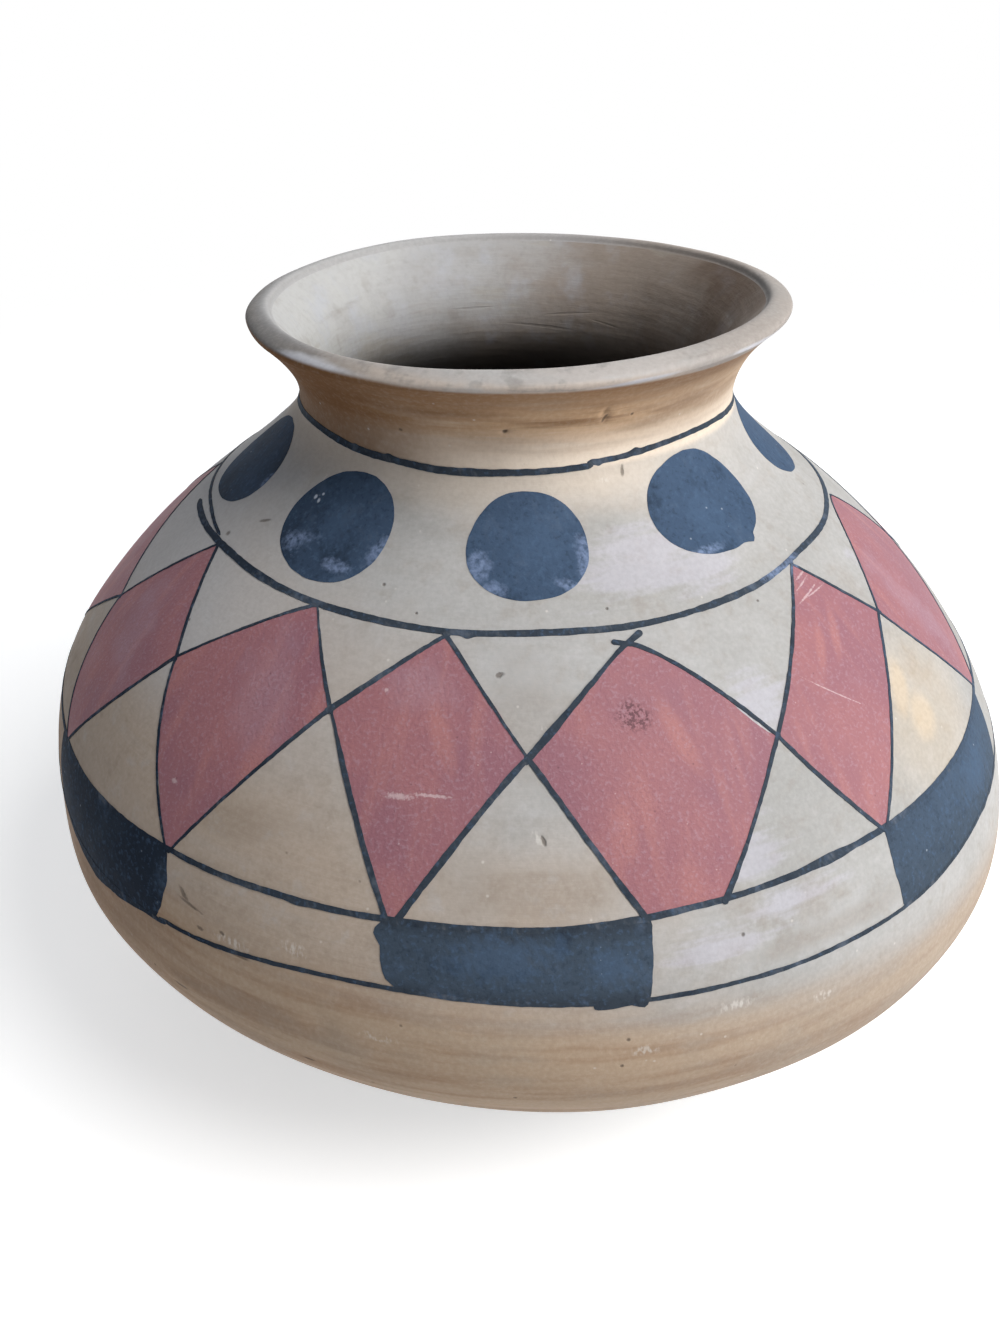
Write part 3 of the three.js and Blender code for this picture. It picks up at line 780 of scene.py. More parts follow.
def blackSlip(name, base, dotBase, fade):
    look = blackLook
    make = Finish(name)
    place = make.place()
    x, y, height, azimuth = wallMarks(make, place)
    flat = make.joined(azimuth, height)
    broad = make.cloud(place, 24, 3)
    patch = make.cloud(place + 12, 7, 4, 0.6)
    grain = make.cloud(place, 1.2, 2, 0.6)
    scratch = make.cloud(make.joined(x + height * 0.5, y, height * 0.25), 1.3, 2, 0.5)
    # The dots take a bluer black, partly painted sky sheen on the upward-facing shoulder
    colour = make.mix(make.ease(height, *look["dotsFrom"]), base, dotBase)
    away = make.add("ShaderNodeMath", {"operation": "ABSOLUTE"}, {0: height - look["bandMiddle"]})
    away = away + (patch - 0.5) * 5
    edge = make.ease(away, 3.6, 6.8) * make.ease(away, 12, 10) * (1 - make.ease(x, 40, 90, 0.8))
    colour = make.mix(edge, colour, look["lineBase"])
    # Painted shade: the black darkens towards the left, away from the light
    colour = make.mix(make.ease(x + (broad - 0.5) * 110, -100, -20), look["deep"], colour)
    colour = make.layers(colour, look, [(patch, 0.52, 0.75, 0.4, "blue")])
    # Painted sky reflection: the band's right end turns blue
    cool = make.ease(x, 60, 100, 0.3) * make.ease(height, *look["bandBlue"])
    colour = make.mix(cool, colour, look["blue"])
    colour = make.layers(colour, look, [
        (patch, 0.46, 0.28, 0.45, "deep"),
        (grain, 0.52, 0.72, 0.4, "blue"),
        (grain, 0.44, 0.3, 0.3, "deep"),
        (patch + scratch * 0.6, 0.82, 1.05, fade, "faded"),
    ])
    ragged = (patch - 0.5) * 2.2 + (scratch - 0.5) * 1.6
    # Worn spots and painted sheen on the black, pale blue
    wornAndSheen = make.marks(flat, look["bloomSpots"], ragged) * make.ease(grain + scratch, 0.6, 1.3, 0.75)
    colour = make.mix(wornAndSheen, colour, look["bloom"])
    colour = make.markLayers(colour, look, flat, [("faintSpots", ragged, 0.35, "blue")])
    colour = make.speckLayers(colour, look, [(place, 4.5, 0.45, 0.4, "fleck")])
    colour = make.markLayers(colour, look, flat, [("fleckSpots", grain - 0.5, 0.85, "fleck")])
    dust = make.marks(flat, look["dustSpots"], patch - 0.5) * make.specks(place + 5, 1.3, 0.5)
    colour = make.mix(dust * 0.8, colour, look["fleck"])
    rough = look["roughness"] + (patch - 0.5) * 0.3 + (grain - 0.5) * 0.2
    return make.close(colour, rough, make.relief(grain + patch, 0.4, 0.3), look["gloss"])


outerClay = clayOutside()
innerClay = clayInside()
redPaint = redSlip()
blackPaint = blackSlip("black_slip", blackLook["base"], blackLook["dotBase"], blackLook["fade"])
lineColour = blackLook["lineBase"]
linePaint = blackSlip("black_line_slip", lineColour, lineColour, blackLook["lineFade"])
print("finishes made")

# How fine the clay meshes are
clayMesh = {"turns": 360, "rowStep": 1.6, "fineStep": 0.8, "fineFrom": 146}


def rowsBetween(line, low, high, step):
    lengths = lengthsAlong(line)
    ends = np.interp([low, high], line[:, 1], lengths)
    count = max(2, math.ceil(abs(ends[1] - ends[0]) / step) + 1)
    at = np.linspace(ends[0], ends[1], count)
    return np.stack([np.interp(at, lengths, line[:, 0]), np.interp(at, lengths, line[:, 1])], -1)


# The flat foot from its middle outward, and its rounded edge
def footRows():
    edge = potForm["footEdge"]
    rows = []
    for turn in np.linspace(-90, potForm["underSlope"] - 90, 9):
        angle = math.radians(turn)
        radius = potForm["footRadius"] - edge + edge * math.cos(angle)
        rows.append([radius, edge + edge * math.sin(angle)])
    flat = [[radius, 0] for radius in np.linspace(0, rows[0][0], 24)[:-1]]
    return np.array(flat + rows)


# The inside's floor, from the wall's foot in to its middle
def floorRows():
    start = insidePoints[0]
    corner = np.array([start[0] - 5, potForm["floor"]])
    end = np.array([potForm["floorCurve"], potForm["floor"]])
    t = np.linspace(0, 1, 10)[1:, None]
    curve = (1 - t) ** 2 * start + 2 * t * (1 - t) * corner + t ** 2 * end
    flat = [[radius, potForm["floor"]] for radius in np.linspace(potForm["floorCurve"], 0, 24)[1:]]
    return np.vstack([curve, flat])


# Slopes of a run of rows, for its normals
def rowSlopes(rows):
    ahead = np.gradient(rows, axis=0)
    return ahead / np.maximum(np.hypot(*ahead.T), 1e-9)[:, None]


# Slopes at some rows, read off the line that they lie on
def lineSlopes(rows, line):
    lengths = lengthsAlong(line)
    ahead = np.gradient(line, lengths, axis=0)
    at = np.interp(rows[:, 1], line[:, 1], lengths)
    found = np.stack([np.interp(at, lengths, ahead[:, 0]), np.interp(at, lengths, ahead[:, 1])], -1)
    return found / np.hypot(*found.T)[:, None]


# One closed clay section: an outer run of rows up, an inner run down, and flat joints between them
def claySection(node, outer, outerSlope, inner, innerSlope, crested=False):
    turns = clayMesh["turns"]
    azimuths = np.linspace(0, 2 * math.pi, turns, endpoint=False)
    rows = np.vstack([outer, inner])
    rowSlope = np.vstack([outerSlope, innerSlope])
    onAxis = rows[:, 0] < 0.01
    grid = [np.broadcast_to(values[:, None], (len(rows), turns)) for values in (*rows.T, *rowSlope.T)]
    around = np.broadcast_to(azimuths[None], (len(rows), turns))
    points = standing(grid[0], grid[1], around)
    normals = facing(*grid, around)
    index = np.arange(len(rows) * turns).reshape(len(rows), turns)
    index[onAxis] = index[onAxis][:, :1]
    faces, corners, materialIndex = [], [], []
    ahead = np.roll(index, -1, axis=1)
    rolled = np.roll(normals, -1, axis=1)
    for row in range(len(rows)):
        after = (row + 1) % len(rows)
        if onAxis[row] and onAxis[after]:
            continue
        joint = row == len(rows) - 1 or (row == len(outer) - 1 and not crested)
        quads = np.stack([index[row], ahead[row], ahead[after], index[after]], -1)
        quadNormals = np.stack([normals[row], rolled[row], rolled[after], normals[after]], 1)
        if joint:
            quadNormals[:] = (0, 0, 1 if row == len(outer) - 1 else -1)
        keep = [0, 1, 2, 3]
        if onAxis[row]:
            keep = [0, 2, 3]
        elif onAxis[after]:
            keep = [0, 1, 2]
        faces += quads[:, keep].tolist()
        corners.append(quadNormals[:, keep].reshape(-1, 3))
        materialIndex += [1 if len(outer) <= row < len(rows) - 1 else 0] * turns
    flat = points.reshape(-1, 3)
    used = np.unique(np.concatenate([np.ravel(face) for face in faces]))
    places = dict(zip(used.tolist(), range(len(used))))
    faces = [[places[corner] for corner in face] for face in faces]
    mesh = makeMesh(node, flat[used], faces, np.vstack(corners), [outerClay, innerClay], materialIndex)
    addObject(node + "_clay", mesh, node)
    print(node, "made with", len(faces), "faces")


def buildClay():
    for node in ("belly_wall", "shoulder_wall", "neck_collar"):
        low, high = [corner.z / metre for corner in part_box(node)]
        step = clayMesh["rowStep"] if high < clayMesh["fineFrom"] + 1 else clayMesh["fineStep"]
        outer = rowsBetween(outsidePoints, low, high, step)
        inner = rowsBetween(insidePoints, low, high, step)[::-1]
        outerSlope = lineSlopes(outer, outsidePoints)
        claySection(node, outer, outerSlope, inner, -lineSlopes(inner, insidePoints))

    low, high = [corner.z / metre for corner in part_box("base_bowl")]
    foot = footRows()
    outer = rowsBetween(outsidePoints, foot[-1, 1] + 0.6, high, clayMesh["rowStep"])
    inner = rowsBetween(insidePoints, insidePoints[0, 1], high, clayMesh["rowStep"])[::-1]
    floor = floorRows()
    outerSlope = np.vstack([rowSlopes(foot), lineSlopes(outer, outsidePoints)])
    innerSlope = np.vstack([-lineSlopes(inner, insidePoints), rowSlopes(floor)])
    claySection("base_bowl", np.vstack([foot, outer]), outerSlope, np.vstack([inner, floor]), innerSlope)

    low, high = [corner.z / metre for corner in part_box("rim_lip")]
    outer = rowsBetween(outsidePoints, low, lipPoints[0, 1], clayMesh["fineStep"])[:-1]
    inner = rowsBetween(insidePoints, low, lipPoints[-1, 1], clayMesh["fineStep"])[::-1][1:]
    outerSlope = np.vstack([lineSlopes(outer, outsidePoints), rowSlopes(lipPoints)])
    innerSlope = -lineSlopes(inner, insidePoints)
    claySection("rim_lip", np.vstack([outer, lipPoints]), outerSlope, inner, innerSlope, crested=True)


buildClay()

# Slip paint lies on the wall as thin films. Lift is how far a film's face stands off the clay.
paintCoat = {
    "under": 0.02,
    "redLift": 0.06,
    "dotLift": 0.09,
    "blockLift": 0.09,
    "ringLift": (0.11, 0.15),   # a ring's start and end, which pass over each other
    "strokeLift": (0.165, 0.18),   # even and odd diamonds, which cross at their corners
    "grid": 2.4,                # how far points lie apart inside an area, and along an edge
    "step": 1.1,
    "seeds": {"ring": 11, "dot": 40, "stroke": 60, "red": 200, "block": 300},
}


def onWall(azimuth, length, lift):
    radius = np.interp(length, outsideLengths, outsidePoints[:, 0])
    height = np.interp(length, outsideLengths, outsidePoints[:, 1])
    slopeR = np.interp(length, outsideLengths, slopes[:, 0])
    slopeZ = np.interp(length, outsideLengths, slopes[:, 1])
    normals = facing(radius, height, slopeR, slopeZ, azimuth)
    return standing(radius, height, azimuth) + normals * np.asarray(lift)[..., None], normals


# A film from its face's points and triangles: a back close to the clay and a rim all round
def closeFilm(node, azimuth, length, lift, triangles, material, slotName="black_slip"):
    count = len(azimuth)
    front, normals = onWall(azimuth, length, np.broadcast_to(lift, (count,)))
    back = onWall(azimuth, length, np.full(count, paintCoat["under"]))[0]
    points = np.vstack([front, back])
    edges = {}
    for a, b, c in triangles:
        for edge in ((a, b), (b, c), (c, a)):
            edges[edge] = True
    rim = [(a, b) for a, b in edges if (b, a) not in edges]
    faces, corners = [], []
    for triangle in triangles:
        faces.append(list(triangle))
        corners += [normals[corner] for corner in triangle]
        faces.append([count + corner for corner in reversed(triangle)])
        corners += [-normals[corner] for corner in reversed(triangle)]
    for a, b in rim:
        faces.append([b, a, count + a, count + b])
        side = np.cross(points[b] - points[a], normals[a])
        corners += [side / max(np.linalg.norm(side), 1e-9)] * 4
    mesh = makeMesh(node + "_paint", points, faces, corners, [material])
    addObject(node + "_paint", mesh, node)


# The points that lie further than a gap from every outline
def farFrom(points, loops, gap):
    keep = np.ones(len(points), bool)
    for loop in loops:
        ahead = np.roll(loop, -1, axis=0) - loop
        long = np.maximum((ahead ** 2).sum(1), 1e-9)
        share = ((points[:, None] - loop[None]) * ahead[None]).sum(2) / long[None]
        nearest = loop[None] + np.clip(share, 0, 1)[..., None] * ahead[None]
        keep &= ((points[:, None] - nearest) ** 2).sum(2).min(1) > gap ** 2
    return points[keep]


# Fills painted outlines, given flat as (distance round, length up), and lays them on the wall
def layPatch(node, loops, aroundRadius, lift, material, *slotName):
    low = np.min([loop.min(0) for loop in loops], axis=0)
    high = np.max([loop.max(0) for loop in loops], axis=0)
    grid = paintCoat["grid"]
    across = np.arange(low[0] + grid / 2, high[0], grid)
    up = np.arange(low[1] + grid / 2, high[1], grid * 0.87)
    inner = np.array([[x + grid / 2 * (row % 2), y] for row, y in enumerate(up) for x in across])
    inner = farFrom(inner.reshape(-1, 2), loops, grid * 0.4)
    points, faces = [], []
    for loop in loops:
        faces.append(list(range(len(points), len(points) + len(loop))))
        points += loop.tolist()
    points += inner.tolist()
    filled = geometry.delaunay_2d_cdt([Vector(point) for point in points], [], faces, 0, 1e-5)
    flat = np.array([tuple(point) for point in filled[0]])
    triangles = []
    for face, source in zip(filled[2], filled[5]):
        if source:
            a, b, c = (flat[corner] for corner in face)
            turned = (b[0] - a[0]) * (c[1] - a[1]) - (b[1] - a[1]) * (c[0] - a[0])
            triangles.append(tuple(face) if turned > 0 else tuple(reversed(face)))
    used = sorted({corner for triangle in triangles for corner in triangle})
    places = {old: new for new, old in enumerate(used)}
    triangles = [tuple(places[corner] for corner in triangle) for triangle in triangles]
    flat = flat[used]
    closeFilm(node, flat[:, 0] / aroundRadius, flat[:, 1], lift, triangles, material, *slotName)


# An uneven wandering between about -1 and 1 along a path
def waver(points, size, seed):
    return np.array([noise.noise(Vector((x / size, y / size, seed * 7.31))) for x, y in points])


def flatSpot(azimuth, height, aroundRadius):
    return np.array([math.radians(azimuth) * aroundRadius, lengthAt(height)])


# A brushed path between two spots, bowed to its left by some millimetres
def brushPath(start, end, bow, step, bowAt=0.42):
    across = end - start
    span = np.hypot(*across)
    left = np.array([-across[1], across[0]]) / span
    share = np.linspace(0, 1, max(4, int(span / step) + 1))
    bent = share ** (math.log(0.5) / math.log(bowAt))
    return start + share[:, None] * across + (4 * bow * bent * (1 - bent))[:, None] * left


def lengthen(path, before, after):
    first = path[0] - path[1]
    last = path[-1] - path[-2]
    first = path[0] + first / np.hypot(*first) * before
    last = path[-1] + last / np.hypot(*last) * after
    return np.vstack([first, path, last])


# Half the width of a stroke, from widths at even steps along it
def halfWidth(share, widths):
    return np.interp(share, np.linspace(0, 1, len(widths)), widths) / 2


# The outline of a brush stroke along a path, with uneven edges and blunt round ends
def strokeLoop(path, widths, aroundRadius, seed, ragged=0.13):
    lengths = lengthsAlong(path)
    share = lengths / lengths[-1]
    stretch = aroundRadius / radiusAt(path[:, 1])
    ahead = np.gradient(path, lengths, axis=0)
    real = ahead / np.stack([stretch, np.ones(len(path))], -1)
    real /= np.hypot(*real.T)[:, None]
    left = np.stack([-real[:, 1] * stretch, real[:, 0]], -1)
    half = halfWidth(share, widths) * (1 + 0.22 * waver(path, 9, seed))
    sides = []
    for side in (1, -1):
        edge = half + ragged * waver(path, 1.7, seed + side)
        edge = edge + 0.5 * ragged * waver(path, 0.7, seed + 3 * side)
        sides.append(path + side * left * np.maximum(edge, 0.15)[:, None])
    caps = []
    for at, way in ((-1, 1), (0, -1)):
        turns = np.radians([60, 20, -20, -60]) * way
        reach = half[at] * np.array([np.cos(turns) * way, np.sin(turns)])
        ahead = np.array([real[at, 0] * stretch[at], real[at, 1]])
        caps.append(path[at] + reach[0][:, None] * ahead + reach[1][:, None] * left[at])
    return np.vstack([sides[1], caps[0][::-1], sides[0][::-1], caps[1][::-1]])


# The height of each painted ring, as azimuths and heights, its widths, and its nubs, each with its
# azimuth, spread in degrees (below zero on the lower edge) and size
ringLines = {
    "neck_line": {
        "heights": [
            (17.6, 165.1), (25.3, 165.3), (34, 165.7), (44, 165.9), (54, 165.9), (68, 165.0),
            (95, 164.4), (140, 164.9), (185, 165.2), (230, 164.7), (270, 164.4), (286, 164.8),
            (302, 165.6), (312, 165.4), (320, 164.9), (336, 164.4), (343, 164.1), (357, 164.2),
            (371, 164.2), (379, 164.5),
        ],
        "widths": [1.2, 1.2, 1.5, 1.4, 1.6, 1.5, 1.6, 1.7, 1.7, 1.4],
        "nubs": [
            (30.2, 1.1, 0.6), (330, 1.0, 0.35), (319.6, 0.8, 0.25), (20.4, -0.7, 0.4), (203, 0.9, 0.4),
        ],
    },
    "shoulder_line": {
        "heights": [
            (-80, 139.2), (-68, 139.9), (-58, 140.6), (-36, 140.2), (-9, 139.8), (7, 140.1),
            (21, 139.8), (38, 140.2), (52, 141.0), (61, 141.2), (80, 140.5), (110, 140.0),
            (150, 140.7), (200, 139.9), (245, 140.4), (270, 141.6), (290, 141.5), (299, 140.8),
        ],
        "widths": [1.8, 1.7, 1.4, 1.5, 1.5, 1.6, 1.7, 1.5, 1.6, 1.1, 0.9],
        "nubs": [(-6.0, -0.8, 0.6), (131, -0.8, 0.5)],
    },
    "band_top_line": {
        "heights": [
            (-65, 93.2), (-51, 93.7), (-38, 94.9), (-27, 96.4), (-12, 97.1), (1, 97.3), (13, 98.3),
            (28, 99.3), (41, 99.4), (51, 99.0), (74, 98.6), (107, 97.6), (140, 98.3), (172, 97.2),
            (205, 98.0), (237, 97.0), (269, 95.4), (296, 93.3),
        ],
        "widths": [1.2, 1.3, 1.4, 1.5, 1.5, 1.6, 1.5, 1.4],
        "nubs": [(-21.2, -0.9, 0.35), (33.4, 2.2, 0.35), (33.4, -1.8, 0.4), (168, 0.8, 0.4)],
    },
    "band_bottom_line": {
        "heights": [
            (-38, 79.2), (-28, 81.6), (-20, 84.0), (-13, 84.9), (-5, 84.4), (8, 83.7), (25, 83.0),
            (40, 82.6), (54, 84.0), (72, 84.0), (107, 83.0), (140, 84.2), (172, 83.2), (205, 84.0),
            (237, 83.1), (269, 82.2), (296, 77.0), (310, 76.2), (323, 79.3),
        ],
        "widths": [1.0, 1.1, 0.9, 1.0, 1.0, 1.3, 1.0, 1.1, 1.0, 1.1],
    },
}


# A ring's height at some azimuths, its corners rounded off
def ringCurve(name, turns):
    spots = np.array(ringLines[name]["heights"])
    return np.mean([np.interp(turns + shift, *spots.T) for shift in (-5, -2.5, 0, 2.5, 5)], axis=0)


def ringHeight(name, azimuth):
    spots = ringLines[name]["heights"]
    turned = np.asarray(azimuth, float)
    turned = np.where(turned > spots[-1][0], turned - 360, turned)
    turned = np.where(turned < spots[0][0], turned + 360, turned)
    return ringCurve(name, turned)


# A ring line is one long stroke whose end runs a little past its start
def buildRing(name, seed):
    ring = ringLines[name]
    first, last = ring["heights"][0][0], ring["heights"][-1][0]
    turns = np.linspace(first, last, int((last - first) * 2.5))
    middle = lengthAt(ringCurve(name, turns))
    track = np.stack([np.radians(turns) * radiusAt(middle), middle], -1)
    share = np.linspace(0, 1, len(turns))
    half = halfWidth(share, ring["widths"]) * (1 + 0.2 * waver(track, 11, seed))
    taper = np.sqrt(np.clip(np.minimum(share, 1 - share) * len(turns) / 3, 0.08, 1))
    upper = half * taper + 0.13 * waver(track, 1.9, seed + 1)
    lower = half * taper + 0.13 * waver(track, 1.9, seed + 2)
    for turn, wide, size in ring.get("nubs", []):
        bump = size * np.exp(-((turns - turn) / wide) ** 2)
        upper, lower = (upper + bump, lower) if wide > 0 else (upper, lower + bump)
    drift = 0.35 * waver(track, 23, seed + 3)
    across = np.linspace(-1, 1, 4)
    reach = np.where(across < 0, lower[:, None], upper[:, None])
    length = middle[:, None] + drift[:, None] + reach * across
    azimuth = np.broadcast_to(np.radians(turns)[:, None], length.shape)
    lift = np.linspace(*paintCoat["ringLift"], len(turns))[:, None] + 0 * length
    wide = len(across)
    triangles = []
    for row in range(len(turns) - 1):
        for column in range(wide - 1):
            a = row * wide + column
            triangles += [(a, a + wide, a + wide + 1), (a, a + wide + 1, a + 1)]
    closeFilm(name, azimuth.ravel(), length.ravel(), lift.ravel(), triangles, linePaint)


for number, name in enumerate(ringLines):
    buildRing(name, paintCoat["seeds"]["ring"] + number)
print("ring lines painted")

# The dots, each with its reach from the middle every 30 degrees, from the right and anticlockwise
dots = [
    {"azimuth": 3.4, "height": 152.0,
     "reach": [12.7, 12.9, 12.6, 12.0, 12.9, 12.7, 12.9, 13.1, 12.6, 12.0, 12.4, 12.8]},
    {"azimuth": 43.4, "height": 153.6,
     "reach": [15.2, 14.4, 13.2, 12.3, 12.7, 15.0, 15.2, 13.8, 12.2, 11.6, 12.3, 14.7],
     "spur": (298, 1.5)},
    {"azimuth": 86, "height": 154.2,
     "reach": [11.8, 11.8, 11.8, 11.8, 12.0, 12.2, 12.0, 11.8, 11.6, 11.8, 12.0, 11.9]},
    {"azimuth": 124, "height": 151.5,
     "reach": [13.0, 13.6, 12.4, 12.0, 12.2, 13.4, 13.8, 13.2, 12.0, 11.8, 12.6, 12.8]},
    {"azimuth": 163, "height": 151.9,
     "reach": [12.6, 12.8, 13.0, 12.4, 12.6, 13.0, 12.8, 12.4, 12.6, 12.8, 13.2, 12.4]},
    {"azimuth": 203, "height": 151.4,
     "reach": [13.8, 13.2, 12.4, 12.2, 12.8, 13.8, 14.0, 13.0, 12.2, 12.0, 12.8, 13.6]},
    {"azimuth": 243, "height": 152.2,
     "reach": [12.8, 13.4, 13.2, 12.6, 12.2, 12.8, 13.4, 13.6, 12.6, 11.8, 12.4, 12.6]},
    {"azimuth": 284.2, "height": 151.2,
     "reach": [15.1, 15.6, 14.6, 13.4, 13.6, 14.8, 15.6, 15.8, 14.2, 12.6, 13.0, 14.1]},
    {"azimuth": 324.2, "height": 151.1,
     "reach": [13.6, 14.6, 14.4, 13.5, 13.5, 14.0, 14.8, 14.3, 13.5, 13.6, 14.1, 13.7]},
]


def buildDot(number, dot):
    aroundRadius = float(radiusAt(lengthAt(dot["height"])))
    middle = flatSpot(dot["azimuth"], dot["height"], aroundRadius)
    turns = np.arange(0, 360, 4.5)
    reach = np.interp(turns, np.arange(0, 361, 30), dot["reach"] + dot["reach"][:1])
    reach = np.stack([np.roll(reach, shift) for shift in range(-3, 4)]).mean(0)
    if "spur" in dot:
        turn, size = dot["spur"]
        reach = reach + size * np.exp(-(turnGap(turns, turn) / 5) ** 2)
    around = np.stack([np.cos(np.radians(turns)), np.sin(np.radians(turns))], -1)
    seed = paintCoat["seeds"]["dot"] + number
    reach = reach + 0.16 * waver(around * reach[:, None], 2.5, seed)
    loop = middle + around * reach[:, None]
    layPatch(f"shoulder_dot_{number}", [loop], aroundRadius, paintCoat["dotLift"], blackPaint)


for number, dot in enumerate(dots, 1):
    buildDot(number, dot)
print("dots painted")

# The net of diamonds. Each side corner is shared with the next diamond to the right.
# Bows are outward in millimetres, and widths run along each stroke from its upper end.
net = {
    "tops": [
        (-9.2, 0.7), (17.1, 2.2), (53.2, 0.6), (85.6, 1.2), (117, 0.8), (149, 1.4), (181, 0.5),
        (212, 0.9), (244, 1.2), (266, 0.8), (300.8, 0.4), (329.1, 0.4),
    ],
    "sides": [
        (2.2, 123.2), (32.9, 120.3), (62.7, 126.8), (94, 122), (126, 124), (158, 121.5), (190, 125),
        (222, 122), (254, 120), (287, 120.2), (310.8, 124), (337.5, 126.8),
    ],
    "feet": [
        (-12.0, -11.0), (12.6, 20.8), (41.2, 41.9), (74.8, 76.2), (107, 108), (140, 141), (171, 172.4),
        (204, 205), (236.6, 238), (268, 269.4), (295.6, 296.3), (321.9, 322.5),
    ],
    "bows": {
        0: (1.0, 0.9, -1.4, -1.1), 1: (1.3, 3.0, -0.7, -0.7), 2: (1.6, 0.3, -2.2, 0.4),
        3: (5.0, 1.2, -1.0, 0.8), 9: (1.0, 0.4, -0.6, 0.4), 10: (1.1, 0.8, -0.2, 2.5),
        11: (1.9, 0.4, -1.1, 0.9),
    },
    "widths": {
        0: [(0.8, 1.1, 1.4), (1.0, 0.8, 0.5), (1.1, 1.3, 1.4), (0.4, 1.1, 1.1, 1.4, 1.1)],
        1: [(1.3, 0.9, 1.0, 1.3, 1.8, 1.5), (1.1, 0.8, 1.0, 0.8), (1.0, 0.8, 1.2), (1.1, 1.1, 1.2)],
        2: [(0.6, 0.9, 1.1), (0.7, 0.8, 0.9), (0.8, 0.8, 0.7), (0.9, 1.0, 0.9)],
        3: [(0.3, 0.3, 0.5), (0.4, 0.4, 0.5), (0.6, 0.6, 0.6), (0.6, 0.6, 0.6)],
        9: [(0.7, 0.6, 0.6), (0.3, 0.3, 0.5), (0.7, 0.6, 0.6), (0.7, 0.6, 0.6)],
        10: [(0.7, 0.6, 0.6), (0.9, 0.8, 0.9), (0.9, 0.7, 0.7), (0.6, 0.6, 0.6)],
        11: [(0.8, 0.6, 0.6), (0.5, 0.6, 1.1), (1.1, 0.7, 0.6), (0.7, 0.7, 0.7)],
    },
    # the hidden diamonds draw their bows and widths from these ranges
    "guessBows": [(0.6, 2.4), (0.6, 2.4), (-1.6, 0.5), (-1.4, 0.7)],
    "guessWidth": (0.7, 1.6),
    # how far strokes run past their corners, and how far the red keeps from a stroke's middle
    "past": {1: [(4.4, 0.8), (3.4, 0.5), (0.4, 0.5), (0.4, 0.5)]},
    "tuck": {1: {1: (0.2, 0.3, 1.3)}, 0: {1: (0.1, -0.5, 0.2)}},
    "seed": 23,
}


def diamondStrokes(index):
    draw = random.Random(net["seed"] + index)
    topTurn, drop = net["tops"][index]
    rightTurn, rightHeight = net["sides"][index]
    leftTurn, leftHeight = net["sides"][index - 1]
    leftTurn -= 360 if index == 0 else 0
    feet = net["feet"][index]
    topHeight = ringHeight("shoulder_line", topTurn) - drop
    aroundRadius = float(radiusAt(lengthAt((rightHeight + leftHeight) / 2)))
    top = flatSpot(topTurn, topHeight, aroundRadius)
    right = flatSpot(rightTurn, rightHeight, aroundRadius)
    left = flatSpot(leftTurn, leftHeight, aroundRadius)
    footHeights = [ringHeight("band_top_line", turn) for turn in feet]
    footLeft, footRight = [flatSpot(*foot, aroundRadius) for foot in zip(feet, footHeights)]
    guessBows = [draw.uniform(*ends) for ends in net["guessBows"]]
    bows = net["bows"].get(index, guessBows)
    guessWidths = [[draw.uniform(*net["guessWidth"]) for spot in range(3)] for stroke in range(4)]
    widths = net["widths"].get(index, guessWidths)
    step = paintCoat["step"]
    paths = [
        brushPath(top, left, -bows[0], step),
        brushPath(top, right, bows[1], step),
        brushPath(right, footRight, bows[2], step),
        brushPath(left, footLeft, -bows[3], step),
    ]
    return paths, widths, aroundRadius


# The red's edge along a stroke, drawn in from the stroke's middle by uneven amounts
def tuckedEdge(path, inward, shares, seed):
    lengths = lengthsAlong(path)
    ahead = np.gradient(path, lengths, axis=0)
    left = np.stack([-ahead[:, 1], ahead[:, 0]], -1)
    share = lengths / lengths[-1]
    offset = np.interp(share, [0, 0.5, 1], shares)
    offset = offset + 0.55 * waver(path, 5.5, seed) + 0.2 * waver(path, 1.5, seed)
    ends = np.minimum(share, 1 - share) * lengths[-1] / 3
    return path + inward * left * (offset * np.clip(ends, 0, 1))[:, None]


def buildDiamond(index):
    paths, widths, aroundRadius = diamondStrokes(index)
    number = f"{index + 1:02d}"
    past = net["past"].get(index, [(0.7, 0.7), (0.7, 0.7), (0.5, 0.5), (0.5, 0.5)])
    seeds = {key: seed + index * 4 for key, seed in paintCoat["seeds"].items()}
    loops = [
        strokeLoop(lengthen(path, *ends), width, aroundRadius, seeds["stroke"] + side)
        for side, (path, width, ends) in enumerate(zip(paths, widths, past))
    ]
    lift = paintCoat["strokeLift"][index % 2]
    layPatch("diamond_outline_" + number, loops, aroundRadius, lift, linePaint)

    upLeft, upRight, lowRight, lowLeft = paths
    tucks = net["tuck"].get(index, {})
    edges = []
    for side, (path, inward) in enumerate(((upLeft, 1), (upRight, -1), (lowRight, -1), (lowLeft, 1))):
        shares = tucks.get(side, (0.15, 0.1, 0.15))
        edges.append(tuckedEdge(path, inward, shares, seeds["red"] + side))
    footLine = brushPath(edges[3][-1], edges[2][-1], 0, paintCoat["step"])[1:-1]
    loop = np.vstack([edges[0][:-1], edges[3], footLine, edges[2][::-1][:-1], edges[1][::-1][:-1]])
    layPatch("red_diamond_" + number, [loop], aroundRadius, paintCoat["redLift"], redPaint, "red_slip")


for index in range(12):
    buildDiamond(index)
print("diamonds painted")

